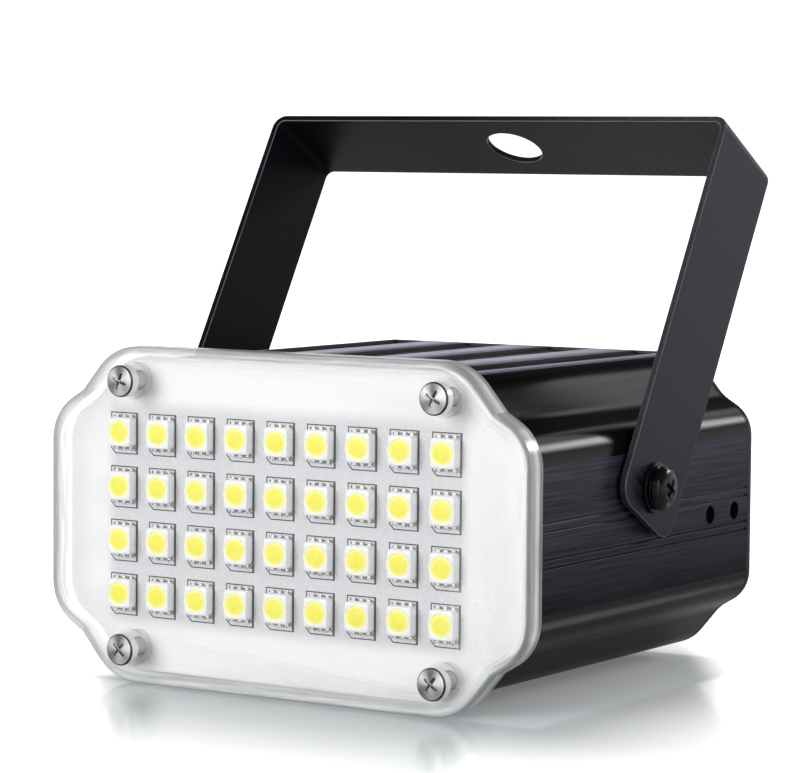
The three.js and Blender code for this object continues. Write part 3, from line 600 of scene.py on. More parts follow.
def housingRuns():
    shape = housingShape
    arcs = cornerArcs(0)
    ends = np.array([[arcs[0, 1] - shape['flatMargin'], 0]])
    inner, outer, line = (shape[key] / 2
                          for key in ('innerLineHeight', 'outerLineHeight', 'lineWidth'))
    centres = np.array([-outer, -inner, inner, outer]) - shape['sideBandDrop']
    lines = np.stack([centres - line, centres + line], 1)
    sideRun = np.concatenate([-ends, grooveRun(lines, shape['lineDepth'], shape['lipRound']), ends])
    first = shape['landWidth'] / 2
    second = first + shape['bandWidth']
    third = second + shape['landWidth']
    fourth = third + shape['edgeBandWidth']
    bands = [(-fourth, -third), (-second, -first), (first, second), (third, fourth)]
    edge = np.array([[arcs[-1, 0] - shape['flatMargin'] / 2, 0]])
    topRun = np.concatenate([-edge, grooveRun(bands, shape['bandDepth'], shape['lipRound']), edge])
    return sideRun, topRun


def finishHousing(mesh):
    # lands, bands and sides get their own finish by where each face lies
    shape = housingShape
    arcs = cornerArcs(0)
    x, _, z = readVectors(mesh.polygons, 'center').T / mm
    toX, _, toZ = readVectors(mesh.polygons, 'normal').T
    level = np.abs(z - middleZ)
    outside = np.sign(z - middleZ) * toZ > 0
    onTop = outside & (level > housingHalf[2] - 2 * shape['bandDepth'])
    onTop &= np.abs(x) < arcs[-1, 0] - shape['flatMargin'] / 2 + shape['slack']
    land = onTop & (level > housingHalf[2] - shape['bandDepth'] / 3)
    land &= np.abs(toZ) > shape['flatFrom']
    land |= outside & ~onTop & (np.abs(toZ) > math.sin(math.radians(shape['landTo'])))
    side = (np.abs(toX) > shape['flatFrom']) & (level < arcs[0, 1] + shape['slack'])
    side &= np.abs(x) > housingHalf[0] - shape['lineDepth'] * 1.5
    numbers = np.where(land, 1, np.where(onTop, 2, np.where(side, 3, 0))).astype(np.int32)
    mesh.polygons.foreach_set('material_index', numbers)


def makeHousing():
    shape = housingShape
    sideRun, topRun = housingRuns()
    front, rear = housingLow[1], nodeBox('rear_panel')[0][1] - shape['panelGap']
    edge = shape['endEdge']
    outer, eased = bodyLoop(0, sideRun, topRun), bodyLoop(-edge, sideRun, topRun)
    inner = bodyLoop(-shape['wall'], sideRun * (1, 0), topRun * (1, 0))
    tube = stack([inner, eased, outer, outer, eased, inner, inner],
                 [front, front, front + edge, rear - edge, rear, rear, front])
    piece = makePiece('housingShell', [tube], [anodised, landFinish, bandFinish, sideGrainAndPaintedShade],
                      'anodised_housing', 'housing', sharp=30)
    pivot = nodeCentre('pivot_nut_right')
    reach = housingHalf[0] + shape['wall']
    holes = [rod(shape['pivotHole'] / 2, -reach, reach, (0, pivot[1], pivot[2]), alongX)]
    for k in range(2):
        y = rear - shape['sideHoleFromRear'] - k * shape['sideHoleSpacing']
        holes.append(rod(shape['sideHole'] / 2, housingHalf[0] - 2 * shape['wall'], reach,
                         (0, y, middleZ - shape['sideBandDrop']), alongX))
    cutHoles(piece, holes, 30)
    finishHousing(piece.data)


def portPlaces():
    x = housingHalf[0] - housingShape['portFromSide']
    rise = housingHalf[2] - housingShape['portFromTop']
    return [(signX * x, middleZ + signZ * rise)
            for signX, signZ in ((-1, 1), (1, 1), (1, -1), (-1, -1))]


def makeHousingInside():
    # screw ports and the board's rails, which stand on the inner wall
    shape = housingShape
    front, rear = housingLow[1] + shape['endEdge'], housingHigh[1] - shape['endEdge']
    bore, outer = shape['portBore'], shape['portRadius']
    section = [(bore, front), (outer, front), (outer, rear), (bore, rear), (bore, front)]
    surfaces = [turnedSurface(section, shape['portSides'], (x, 0, z)) for x, z in portPlaces()]
    inner = housingHalf[0] - shape['wall']
    for side, level in itertools.product((-1, 1), (-1, 1)):
        low = middleZ - shape['railDrop'] + level * shape['railGap'] - shape['railThickness'] / 2
        high = low + shape['railThickness']
        ends = sorted([side * (inner - shape['railDepth']), side * (inner + shape['wall'] / 2)])
        surfaces.append(boxSurface((ends[0], front, low), (ends[1], rear, high)))
    makePiece('housingPorts', surfaces, [anodised], 'anodised_housing')


makeHousing()
makeHousingInside()
print('housing made')


# Front cover: a clear tray with a rounded front edge and a post behind each screw
coverLow, coverHigh = nodeBox('front_cover')
coverShape = {
    'overhang': coverHigh[0] - housingHigh[0], 'wall': 1.4, 'round': 1.1, 'roundSteps': 8,
    'innerRound': 0.7, 'rimEdge': 0.15, 'waistRadius': 2.8, 'wallRows': 16,
    'faceRings': (0.12, 0.3, 0.6, 1.0, 1.5, 2.1, 2.8, 3.6), 'postRadius': 3.2, 'postFoot': 0.3,
    'postSides': 40, 'screwHole': 1.7,
    'screwRing': 2.5,  # this near to a screw's axis the rim looks as where its tones end
    'postGap': 0.2, 'innerVeil': (0.03, 0.5), 'sharp': 50,
}
# the rim's painted grey (as displayed), with its painted highlights and shade, and its veil by
# the distance from its rear edge round to the face, for each side of the outline
rimPaintedTones = {
    'right': ([0, 0.3, 0.6, 0.95, 1.25, 1.6, 1.9, 2.3, 2.8, 3.2, 3.6, 3.9, 4.2, 4.7, 4.85, 5.0, 5.5,
               6.2, 9.3],
              [135, 150, 140, 118, 190, 240, 252, 240, 215, 170, 172, 160, 144, 124, 150, 245, 247,
               247, 245],
              [0.9, 0.9, 0.95, 0.95, 0.85, 0.8, 0.8, 0.8, 0.8, 0.9, 0.85, 0.85, 0.9, 0.95, 0.9, 0.5,
               0.3, 0.15, 0.05]),
    'left': ([0, 3.9, 4.3, 5.3, 5.8, 6.05, 6.3, 6.57, 6.83, 7.1, 7.4, 8.5, 9.1],
             [225, 225, 160, 142, 146, 156, 170, 188, 204, 214, 218, 218, 247],
             [0.12, 0.12, 0.9, 0.95, 0.93, 0.9, 0.88, 0.85, 0.82, 0.8, 0.8, 0.75, 0.04]),
    'top': ([0, 0.5, 1.2, 3.0, 3.8, 4.4, 5.0, 5.3, 5.5, 5.9, 6.3, 6.7, 7.2, 9.3],
            [165, 178, 185, 190, 172, 178, 184, 190, 196, 205, 212, 220, 236, 246],
            [0.8, 0.85, 0.9, 0.9, 0.92, 0.92, 0.92, 0.9, 0.88, 0.75, 0.55, 0.38, 0.2, 0.04]),
    'bottom': ([0, 0.5, 1.2, 3.8, 4.2, 4.6, 4.9, 5.2, 5.5, 5.8, 6.05, 6.4, 7.0, 7.6, 9.3],
               [225, 225, 225, 172, 188, 198, 220, 235, 222, 206, 172, 205, 216, 230, 238],
               [0.4, 0.4, 0.4, 0.85, 0.85, 0.8, 0.8, 0.8, 0.8, 0.85, 0.9, 0.6, 0.35, 0.2, 0.05]),
}


def toLinear(shown):
    # displayed grey, 0 to 255, to the linear value that a shader takes
    share = np.asarray(shown) / 255
    return np.where(share < 0.04, share / 12.92, ((share + 0.055) / 1.055) ** 2.4)


def shadeRim(mesh, loop):
    # at each vertex the four sides' tables of painted light and shade are mixed by the square
    # of the outline's own direction
    flow = vertexFlow(mesh)
    places = readVectors(mesh.vertices, 'co')[:, ::2] / mm
    fromScrew = np.linalg.norm(places[:, None] - np.array(portPlaces()), axis=2).min(1)
    flow[fromScrew < coverShape['screwRing'], 1] = rimPaintedTones['left'][0][-1]
    steps, around = np.diff(loop, axis=0), lengthsAlong(loop)
    middles = (around[1:] + around[:-1]) / 2
    normals = np.stack([steps[:, 1], -steps[:, 0]], 1) / np.linalg.norm(steps, axis=1)[:, None]
    across, upward = (np.interp(flow[:, 0], middles, normal, period=around[-1])
                      for normal in normals.T)
    sides = {side: np.clip(towards, 0, 1) for side, towards in (
        ('right', across), ('left', -across), ('top', upward), ('bottom', -upward))}
    total = sum(share ** 2 for share in sides.values())
    paintedTone, veil = 0, 0
    for side, (lengths, greys, veils) in rimPaintedTones.items():
        share = sides[side] ** 2 / total
        paintedTone += share * np.interp(flow[:, 1], lengths, toLinear(greys))
        veil += share * np.interp(flow[:, 1], lengths, veils)
    keepValue(mesh, 'paintedTone', paintedTone)
    keepValue(mesh, 'veil', veil)
    least, more = coverShape['innerVeil']
    keepValue(mesh, 'innerVeil', least + more * sides['bottom'] ** 4)


def portHoles(low, high):
    return [rod(coverShape['screwHole'], low, high, (x, 0, z)) for x, z in portPlaces()]


def makeCover():
    shape = coverShape
    front, rear = coverLow[1], coverHigh[1]
    grow, wall, inside = shape['overhang'], shape['wall'], shape['overhang'] - shape['wall']
    edge, sharp = shape['rimEdge'], shape['sharp']

    def loop(by):
        return bodyLoop(by, waistRadius=shape['waistRadius'])

    # front edge: a quarter round from the side wall on to the face
    angle = np.linspace(0, math.pi / 2, shape['roundSteps'] + 1)
    outerGrow, innerGrow = (start - shape[key] * (1 - np.cos(angle))
                            for start, key in ((grow, 'round'), (inside, 'innerRound')))
    outerPlace, innerPlace = (start + shape[key] * (1 - np.sin(angle))
                              for start, key in ((front, 'round'), (front + wall, 'innerRound')))
    rings = outerGrow[-1] - np.array(shape['faceRings'])
    wallPlaces = np.linspace(rear - edge, outerPlace[0], shape['wallRows'])[:-1]
    grows = [grow - edge, *np.full(len(wallPlaces), grow), *outerGrow, *rings]
    places = [rear, *wallPlaces, *outerPlace, *np.full(len(rings), front)]
    outerSide = stack([loop(by) for by in grows], places, 0, False, True)
    innerSide = stack([loop(by) for by in (inside, *innerGrow)], [rear, *innerPlace], 1)
    floor = stack([loop(innerGrow[-1]), loop(innerGrow[-1] - edge)], [front + wall] * 2, 1,
                  False, True)
    rim = stack([loop(grow - edge), loop(inside)], [rear, rear], 1)
    piece = makePiece('coverTray', [outerSide, rim, innerSide, floor], [clearOuter, clearInner],
                      'clear_cover', 'front_cover', sharp=sharp)
    cutHoles(piece, portHoles(front - overrun, front + 2 * wall), sharp)
    shadeRim(piece.data, closedLoop(loop(grow - edge)))
    start, back = front + wall, nodeBox('lamp_board')[0][1] - shape['postGap']
    hole, radius, foot = shape['screwHole'], shape['postRadius'], shape['postFoot']
    section = [(hole, start), (radius + foot, start), (radius, start + foot), (radius, back),
               (hole, back), (hole, start)]
    posts = [turnedSurface(section, shape['postSides'], (x, 0, z)) for x, z in portPlaces()]
    makePiece('coverPosts', posts, [clearPost], 'clear_cover')


makeCover()
print('cover made')


# Lamp board with its printed outlines, pads and 36 lamps
boardLow, boardHigh = nodeBox('lamp_board')
firstLow, firstHigh = nodeBox('lamp_string_1')
lastLow, lastHigh = nodeBox('lamp_string_9')
lampShape = {
    'columns': 9, 'rows': 4, 'width': firstHigh[0] - firstLow[0], 'height': 5.1,
    'front': firstLow[1], 'back': firstHigh[1], 'ledge': 0.16, 'gelWidth': 4.2, 'gelHeight': 3.9,
    'wellDepth': 0.06, 'wellEdge': 0.01, 'wellShare': 0.98, 'gelRise': 0.1,
    'gelSteps': ((0.98, 0), (0.8, 0.35), (0.6, 0.6), (0.3, 0.9), (0, 1)),  # share of width, of rise
    'bodyHalo': (0, 0, 0, 0.2, 1, 1), 'gelHalo': (1, 0.75, 0.45, 0.1, 0), 'haloWidth': 0.4,
    'cornerRadius': 0.5, 'perSide': 10, 'leadWidth': 0.6, 'leadReach': 0.5, 'leadThickness': 0.35,
    'leadPitch': 1.55, 'leadInside': 0.3,
}
printShape = {
    'width': 6.0, 'height': 7.5, 'chamfer': 0.95, 'line': 0.2, 'thickness': 0.03, 'left': 0.25,
    'down': 0.3, 'rightPaintedShadow': 0.2, 'markWidth': (0.14, 0.34), 'markHeight': (0.25, 0.6),
    'markPitch': 0.52, 'markLift': 0.14, 'markGap': 0.12, 'markThickness': 0.018, 'marks': 10,
    'seed': 5,
}
boardShape = {
    'edge': 0.12,
    'paintedShadePast': ((3.2, 5.0), (3.6, 5.0)),  # past the lamps: left and below, right and above
    'paintedShadeBlur': 1.6,
}
lampXs = np.linspace((firstLow[0] + firstHigh[0]) / 2, (lastLow[0] + lastHigh[0]) / 2,
                     lampShape['columns'])
lampTop = firstHigh[2] - lampShape['height'] / 2
lampZs = np.linspace(lampTop, firstLow[2] + lampShape['height'] / 2, lampShape['rows'])
(greyLeft, greyBelow), (greyRight, greyAbove) = boardShape['paintedShadePast']
# the board's painted soft shadow behind the lamp block
boardWhite = makeBoardFinish(
    'boardWhite', (lampXs[0] - greyLeft, lampZs[-1] - greyBelow),
    (lampXs[-1] + greyRight, lampZs[0] + greyAbove), boardShape['paintedShadeBlur'])


def squareRing(perSide):
    # points evenly round a square from -1 to 1, anticlockwise from its lower right corner
    run = np.linspace(-1, 1, perSide + 1)[:-1]
    one = np.ones(perSide)
    return closedLoop(np.concatenate([
        np.stack([one, run], 1), np.stack([-run, one], 1), np.stack([-one, -run], 1),
        np.stack([run, -one], 1)]))


def roundedRing(ring, half, radius):
    # the ring stretched to a rectangle, its corners drawn in to a radius
    half = np.array(half, dtype=float)
    points = ring * half
    core = np.clip(points, radius - half, half - radius)
    away = points - core
    length = np.linalg.norm(away, axis=1, keepdims=True)
    corner = (np.abs(away).min(1, keepdims=True) > 1e-6)
    return np.where(corner, core + away * radius / np.maximum(length, 1e-9), points)


def lampSurfaces(x, z):
    # a square body whose face steps down to a round gel; the halo value is 1 at the gel's edge
    shape = lampShape
    ring = squareRing(shape['perSide'])
    half = np.array([shape['width'], shape['height']]) / 2
    square, inset = (roundedRing(ring, half - less, shape['cornerRadius'])
                     for less in (0, shape['ledge']))
    gelRing = ring / np.linalg.norm(ring, axis=1, keepdims=True)
    gelRing = gelRing * np.array([shape['gelWidth'], shape['gelHeight']]) / 2
    wide = 1 + 2 * shape['haloWidth'] / shape['gelWidth']
    front, deep = shape['front'], shape['front'] + shape['wellDepth']
    body = [(square, shape['back']), (square, front + shape['ledge']), (inset, front),
            (gelRing * wide, front), (gelRing, front + shape['wellEdge']),
            (gelRing * shape['wellShare'], deep)]
    gel = [(gelRing * share, deep - shape['gelRise'] * rise) for share, rise in shape['gelSteps']]
    surfaces = []
    for number, rows, halo in ((0, body, 'bodyHalo'), (1, gel, 'gelHalo')):
        uv = np.zeros((len(rows), len(ring), 2))
        uv[..., 0] = np.array(shape[halo])[:, None]
        surfaces.append(gridSurface(ringsAlongY(rows, x, z), number, uv, number == 0))
    return surfaces


def makeLampColumn(k):
    shape = lampShape
    halfWidth, halfHeight = shape['leadWidth'] / 2, shape['height'] / 2
    surfaces = []
    for z in lampZs:
        surfaces += lampSurfaces(lampXs[k], z)
        for side, lead in itertools.product((-1, 1), (-1, 0, 1)):
            middle = lampXs[k] + lead * shape['leadPitch']
            ends = sorted(z + side * (halfHeight + reach)
                          for reach in (-shape['leadInside'], shape['leadReach']))
            surfaces.append(boxSurface(
                (middle - halfWidth, shape['back'] - shape['leadThickness'], ends[0]),
                (middle + halfWidth, shape['back'], ends[1]), 2))
    piece = makePiece(f'lampColumn{k + 1}', surfaces, [lampWhite, lampGel, tinFinish], 'lamp',
                      f'lamp_string_{k + 1}', sharp=50)
    # the halo value, kept in the uv while the mesh was built, as a value of its own
    keepValue(piece.data, 'halo', vertexFlow(piece.data)[:, 0])


def printedFrame(x, z):
    # one lamp's printed outline with its cut corner, as a flat ribbon on the board; its right line
    # is widened by a painted shadow of the lamp
    shape = printShape
    halfX, halfZ, cut = shape['width'] / 2, shape['height'] / 2, shape['chamfer']
    corners = np.array([(halfX, -halfZ), (halfX, halfZ), (-halfX, halfZ), (-halfX, cut - halfZ),
                        (cut - halfX, -halfZ)])
    inner = growPolygon(corners, -shape['line'])[0]
    # painted shadow: the right line is widened inwards for the lamp's shadow beside it
    inner[:2, 0] -= shape['rightPaintedShadow']
    back, front = boardLow[1], boardLow[1] - shape['thickness']
    outer, inner = closedLoop(corners), closedLoop(inner)
    return gridSurface(ringsAlongY([(outer, back), (outer, front), (inner, front), (inner, back)],
                                   x - shape['left'], z - shape['down']))


def makeMarks():
    # random small pads in a row above and below each lamp
    shape, front = printShape, boardLow[1]
    thin = shape['markThickness']
    away = lampShape['height'] / 2 + sum(shape['markHeight']) / 4 + shape['markGap']
    random = np.random.default_rng(shape['seed'])
    marks = []
    for x, z, side, k in itertools.product(lampXs, lampZs, (-1, 1), range(shape['marks'])):
        wide, high = (random.uniform(*shape[key]) / 2 for key in ('markWidth', 'markHeight'))
        middle = x - shape['left'] / 2 + (k - (shape['marks'] - 1) / 2) * shape['markPitch']
        level = z - shape['down'] / 2 + side * away + random.uniform(-1, 1) * shape['markLift']
        marks.append(boxSurface((middle - wide, front - thin, level - high),
                                (middle + wide, front + thin, level + high)))
    makePiece('boardMarks', marks, [fluxFinish], 'white_board')


def makeBoard():
    edge = boardShape['edge']
    front, rear = boardLow[1], boardHigh[1]
    grow = boardHigh[0] - housingHigh[0]
    loops = [bodyLoop(grow - less) for less in (edge, 0, 0, edge)]
    plate = stack(loops, [front, front + edge, rear - edge, rear], 0, True, True)
    piece = makePiece('lampBoard', [plate], [boardWhite], 'white_board', 'lamp_board')
    cutHoles(piece, portHoles(front - overrun, rear + overrun))
    frames = [printedFrame(x, z) for x in lampXs for z in lampZs]
    makePiece('boardPrint', frames, [inkFinish], 'white_board')
    makeMarks()


makeBoard()
for column in range(lampShape['columns']):
    makeLampColumn(column)
print('board and lamps made')


# Screws: a pan head with a cross in it, on a plain shank
def screwSurface(head, centre, turn):
    # along the head's section and round it by a; inside the cross the height drops by its depth.
    # The uv holds the radius, and painted shade, 1 in the cross and on the head's rounded shoulder.
    radius, rise, flat = head['radius'], head['rise'], head['radius'] - head['shoulder']
    shank, end, flank, edge = head['shank'], head['length'], head['flank'], head['edge']
    crown = flat * np.concatenate([np.linspace(0, 0.3, 6)[:-1],
                                   np.sqrt(np.linspace(0.09, 1, head['steps']))])
    height = -rise + head['dome'] * (crown / flat) ** 2
    bend = np.linspace(0, math.pi / 2, 9)[1:]
    drop = rise - head['dome'] - flank
    shoulder = np.stack([flat + head['shoulder'] * np.sin(bend) * 0.97,
                         -flank - drop * np.cos(bend)], 1)
    side = [(radius * 0.98, -flank * 0.9), (radius, -edge), (radius - edge, 0), (shank, 0),
            (shank, end - 1), (shank - 0.7, end), (0, end)]
    profile = np.concatenate([np.stack([crown, height], 1), shoulder, np.array(side)])
    points = turnedPoints(profile, head['sides'])
    spin = math.radians(head['spin'])
    x = points[..., 0] * math.cos(spin) - points[..., 2] * math.sin(spin)
    z = points[..., 0] * math.sin(spin) + points[..., 2] * math.cos(spin)
    half, soft = np.array([head['arm'], head['span']]) / 2, head['slope']

    def arm(*axes):
        # 1 inside a bar, falling to 0 over the slope
        across, along = (np.clip((reach - np.abs(axis)) / soft + 0.5, 0, 1)
                         for reach, axis in zip(half, axes))
        return across * along

    row = np.arange(len(profile))
    top, bent = row < len(crown), (row >= len(crown)) & (row < len(crown) + len(bend) - 2)
    mask = np.maximum(arm(x, z), arm(z, x)) * top[:, None]
    middle = np.clip(1 - np.hypot(x, z) / half[1], 0, 1) ** 0.5
    points[..., 1] += mask * head['depth'] * (0.45 + 0.55 * middle)
    # painted shade: darker in the cross's recess and on the head's shoulder, where shade falls
    paintedShade = np.maximum(mask * head['recessShade'], bent[:, None] * head['shoulderShade'])
    uv = np.stack([np.hypot(points[..., 0], points[..., 2]), paintedShade], -1)
    # the flank and shank rows take the material of this number, on the cover screws the painted
    # reflection
    number = (row[:-1] >= len(crown) + len(bend) - 1).astype(int) * head['flankNumber']
    return gridSurface(placed(points, centre, turn), number, uv)


def keepPaintedSheen(piece, centre):
    # painted reflection by the angle a round the head: three light sectors, uneven,
    # 0.4 + 0.35 sin 3a + 0.15 cos 2a. The painted shade on the shoulder is darkest at its lower
    # right.
    x, _, z = (readVectors(piece.data.vertices, 'co') / mm - np.array(centre)).T
    angle = np.arctan2(z, x)
    keepValue(piece.data, 'paintedSheen', 0.4 + 0.35 * np.sin(3 * angle) + 0.15 * np.cos(2 * angle))
    paintedShade = vertexFlow(piece.data)[:, 1]
    lower = np.clip(0.5 + 0.7 * np.cos(angle + math.pi / 4), 0.1, 1)
    onShoulder = paintedShade > 0.6
    keepValue(piece.data, 'paintedShade', np.where(onShoulder, paintedShade * lower, paintedShade))


coverHead = {
    'radius': 2.85, 'rise': 2.1, 'shoulder': 0.3, 'dome': 0.1, 'flank': 1.65, 'edge': 0.12,
    'shank': 1.45, 'length': 14.0, 'steps': 40, 'sides': 128, 'arm': 0.34, 'span': 2.9,
    'slope': 0.14, 'depth': 0.4, 'spin': 20.0, 'recessShade': 0.1, 'shoulderShade': 0.95,
    'flankNumber': 1, 'sink': 0.2,
}
panelHead = dict(coverHead, spin=0.0, flankNumber=0)
pivotHead = dict(coverHead, radius=4.0, rise=1.8, shoulder=2.7, dome=0.15, flank=0.25, shank=2.0,
                 arm=0.75, span=2.6, depth=1.0, spin=35.0, flankNumber=0)


def makeScrews():
    seatFront = coverLow[1] - coverHead['sink']
    for k, (x, z) in enumerate(portPlaces()):
        centre, end = (x, seatFront, z), nodeBox(f'cover_screw_{k + 1}')[1][1]
        head = dict(coverHead, length=end - seatFront, spin=coverHead['spin'] + 7 * k)
        piece = makePiece(f'coverScrew{k + 1}', [screwSurface(head, centre, alongY)],
                          [nickelFinish, flankPaintedReflection], 'nickel_screw', f'cover_screw_{k + 1}',
                          sharp=40)
        keepPaintedSheen(piece, centre)
        low, high = nodeBox(f'panel_screw_{k + 1}')
        seatRear = high[1] - panelHead['rise']
        head = dict(panelHead, length=seatRear - low[1], spin=panelHead['spin'] + 17 * k)
        makePiece(f'panelScrew{k + 1}', [screwSurface(head, (x, seatRear, z), alongMinusY)],
                  [blackScrewFinish], 'black_screw', f'panel_screw_{k + 1}', sharp=40)


makeScrews()
print('screws made')


# Bracket: a flat strap, drawn flat in (along, across), then folded over two bends
pivotPlace = nodeCentre('pivot_nut_right')
bracketShape = {
    'width': 20.0, 'thickness': 1.2, 'outer': 49.8, 'reach': 69.5, 'bend': 2.6, 'belowPivot': 6.4,
    'endRadius': 4.0, 'hole': 10.8, 'pivotHole': 4.5, 'tilt': 30.2, 'edge': 0.16, 'edgeAngle': 50,
    'perSide': 16, 'holeRows': (9, 8), 'legRows': (9, 9, 12),
    'spread': 1.3,  # over 1 puts the rows closer to a hole
}


def foldStrap(flat):
    # along the strap: up one leg, round a bend, over the top, round the other bend and down
    along = flat[..., 0]  # zero in the middle of the top, positive to the right
    far, bend = np.abs(along), bracketShape['bend']
    flatTop = bracketShape['outer'] - bend
    angle = np.clip((far - flatTop) / bend, 0, math.pi / 2)
    down = np.clip(far - flatTop - bend * math.pi / 2, 0, None)
    x = np.minimum(far, flatTop) + bend * np.sin(angle)
    z = bracketShape['reach'] - bend * (1 - np.cos(angle)) - down
    return np.stack([np.sign(along) * x, flat[..., 1], z], -1)


def patchWithHole(ring, outlineRing, centre, radius, rows):
    # rings that lead from a round hole out to the patch's own outline
    circle = ring / np.linalg.norm(ring, axis=1, keepdims=True) * radius
    blend = np.linspace(0, 1, rows)[:, None, None] ** bracketShape['spread']
    return (1 - blend) * circle + blend * outlineRing + np.array(centre)


def makeBracket():
    shape = bracketShape
    half, below, perSide = shape['width'] / 2, shape['belowPivot'], shape['perSide']
    ring = squareRing(perSide)
    topHalf = shape['outer'] - shape['bend']
    legFrom = topHalf + shape['bend'] * math.pi / 2
    pivotAlong = legFrom + shape['reach'] - shape['bend']
    runs = zip((half, topHalf, legFrom), (topHalf, legFrom, pivotAlong - half), shape['legRows'])
    stops = np.concatenate([np.linspace(*run) for run in runs])
    stops = stops[np.append(np.diff(stops) > 0, True)]  # where two runs meet, one of the two stops
    across = np.linspace(-half, half, perSide + 1)
    patches = [patchWithHole(ring, ring * half, (0, 0), shape['hole'] / 2, shape['holeRows'][0])]
    for side in (-1, 1):
        # the leg's end: square towards the top, rounded corners below the pivot
        endRing = ring * half
        lower = side * endRing[:, 0] > 0
        endRing[:, 0] = np.where(lower, endRing[:, 0] * below / half, endRing[:, 0])
        rounded = roundedRing(endRing / np.array([below, half]), (below, half), shape['endRadius'])
        endRing = np.where(lower[:, None], rounded, endRing)
        patches.append(patchWithHole(ring, endRing, (side * pivotAlong, 0), shape['pivotHole'] / 2,
                                     shape['holeRows'][1]))
        patches.append(np.stack(np.meshgrid(side * stops, across, indexing='ij'), -1))
    cosine, sine = (turn(math.radians(shape['tilt'])) for turn in (math.cos, math.sin))
    lean = np.array([[1, 0, 0], [0, cosine, sine], [0, -sine, cosine]])
    centre = np.array([0, pivotPlace[1], pivotPlace[2]])
    surfaces = [gridSurface(placed(foldStrap(patch), centre, lean), 0, patch) for patch in patches]
    piece = makePiece('strapBracket', surfaces, [strapFinish, strapInsidePaintedShade, arrisPaintedHighlight],
                      'black_bracket', 'bracket', sharp=60, body='bracket')
    # the open sheet faces away from its middle, and gets its wall on the inside
    polygons = piece.data.polygons
    outwards = readVectors(polygons, 'center') / mm - centre
    if (readVectors(polygons, 'normal') * outwards).sum() < 0:
        piece.data.flip_normals()
    wall = piece.modifiers.new('thickness', 'SOLIDIFY')
    wall.thickness, wall.offset = shape['thickness'] * mm, -1
    wall.use_even_offset = True
    # the inner faces and the rim take the painted shade
    wall.material_offset = wall.material_offset_rim = 1
    bevel = piece.modifiers.new('soft edges', 'BEVEL')
    bevel.width, bevel.segments = shape['edge'] * mm, 2
    bevel.limit_method, bevel.angle_limit = 'ANGLE', math.radians(shape['edgeAngle'])
    # the bevel takes the painted highlight
    bevel.use_clamp_overlap, bevel.material = True, 2
    piece.modifiers.new('even shading', 'WEIGHTED_NORMAL').keep_sharp = True


makeBracket()
print('bracket made')


# Pivots: screw, spring washer, flat washer, friction washer and the nut inside
pivotShape = {
    'washerEdge': 0.1, 'washerSides': 96, 'edgeSteps': 4, 'bore': 2.25, 'slot': 0.7,
    'springLift': 0.25, 'springEdge': 0.08,
}
nutShape = {
    'sides': 120,
    'corner': 1.13,  # a hexagon's corners end at this share of half its width
    'face': 1.02, 'ease': 0.12,
}


def hexagon(half, angle, corner):
    # six flats: radius = half over cos of the angle from the nearest flat, its corners cut
    return np.minimum(half / np.cos((angle + math.pi / 6) % (math.pi / 3) - math.pi / 6),
                      half * corner)


def nutSurface(across, bore, thickness, centre, turn=alongY):
    shape, half = nutShape, across / 2
    angle = np.linspace(0, fullTurn, shape['sides'] + 1)
    ease = thickness * shape['ease']
    outer = hexagon(half, angle, shape['corner'])
    face = np.minimum(outer, half * shape['face'])
    rows = [(bore, 0), (face, 0), (outer, ease), (outer, thickness - ease), (face, thickness),
            (bore, thickness), (bore, 0)]
    return gridSurface(placed(turnedRings(rows, angle), centre, turn))


def washerSurface(inner, outer, thickness, near, centre, turn):
    # a flat ring with rounded outer edges, its section closed on itself
    shape = pivotShape
    edge, steps = shape['washerEdge'], shape['edgeSteps']
    low = roundTurn((outer - edge, edge), edge, -90, 0, steps)
    high = roundTurn((outer - edge, thickness - edge), edge, 0, 90, steps)
    section = np.array([(inner, 0), *low, *high, (inner, thickness), (inner, 0)]) + (0, near)
    return turnedSurface(section, shape['washerSides'], centre, turn)


def springWasherSurface(inner, outer, thickness, centre, turn):
    # a square section carried once round with a gap, its ends a little apart along the axis
    shape = pivotShape
    gap, edge, low = shape['slot'] / outer, shape['springEdge'], shape['springLift'] / 2
    angle = np.linspace(gap / 2, fullTurn - gap / 2, shape['washerSides'] + 1)
    lift = (angle / fullTurn - 0.5) * shape['springLift']
    high = thickness - low
    section = [(inner, low), (outer - edge, low), (outer, low + edge), (outer, high - edge),
               (outer - edge, high), (inner, high), (inner, low)]
    points = turnedRings([(radius, height + lift) for radius, height in section], angle)
    return gridSurface(placed(points.swapaxes(0, 1), centre, turn), 0, None, True, True)


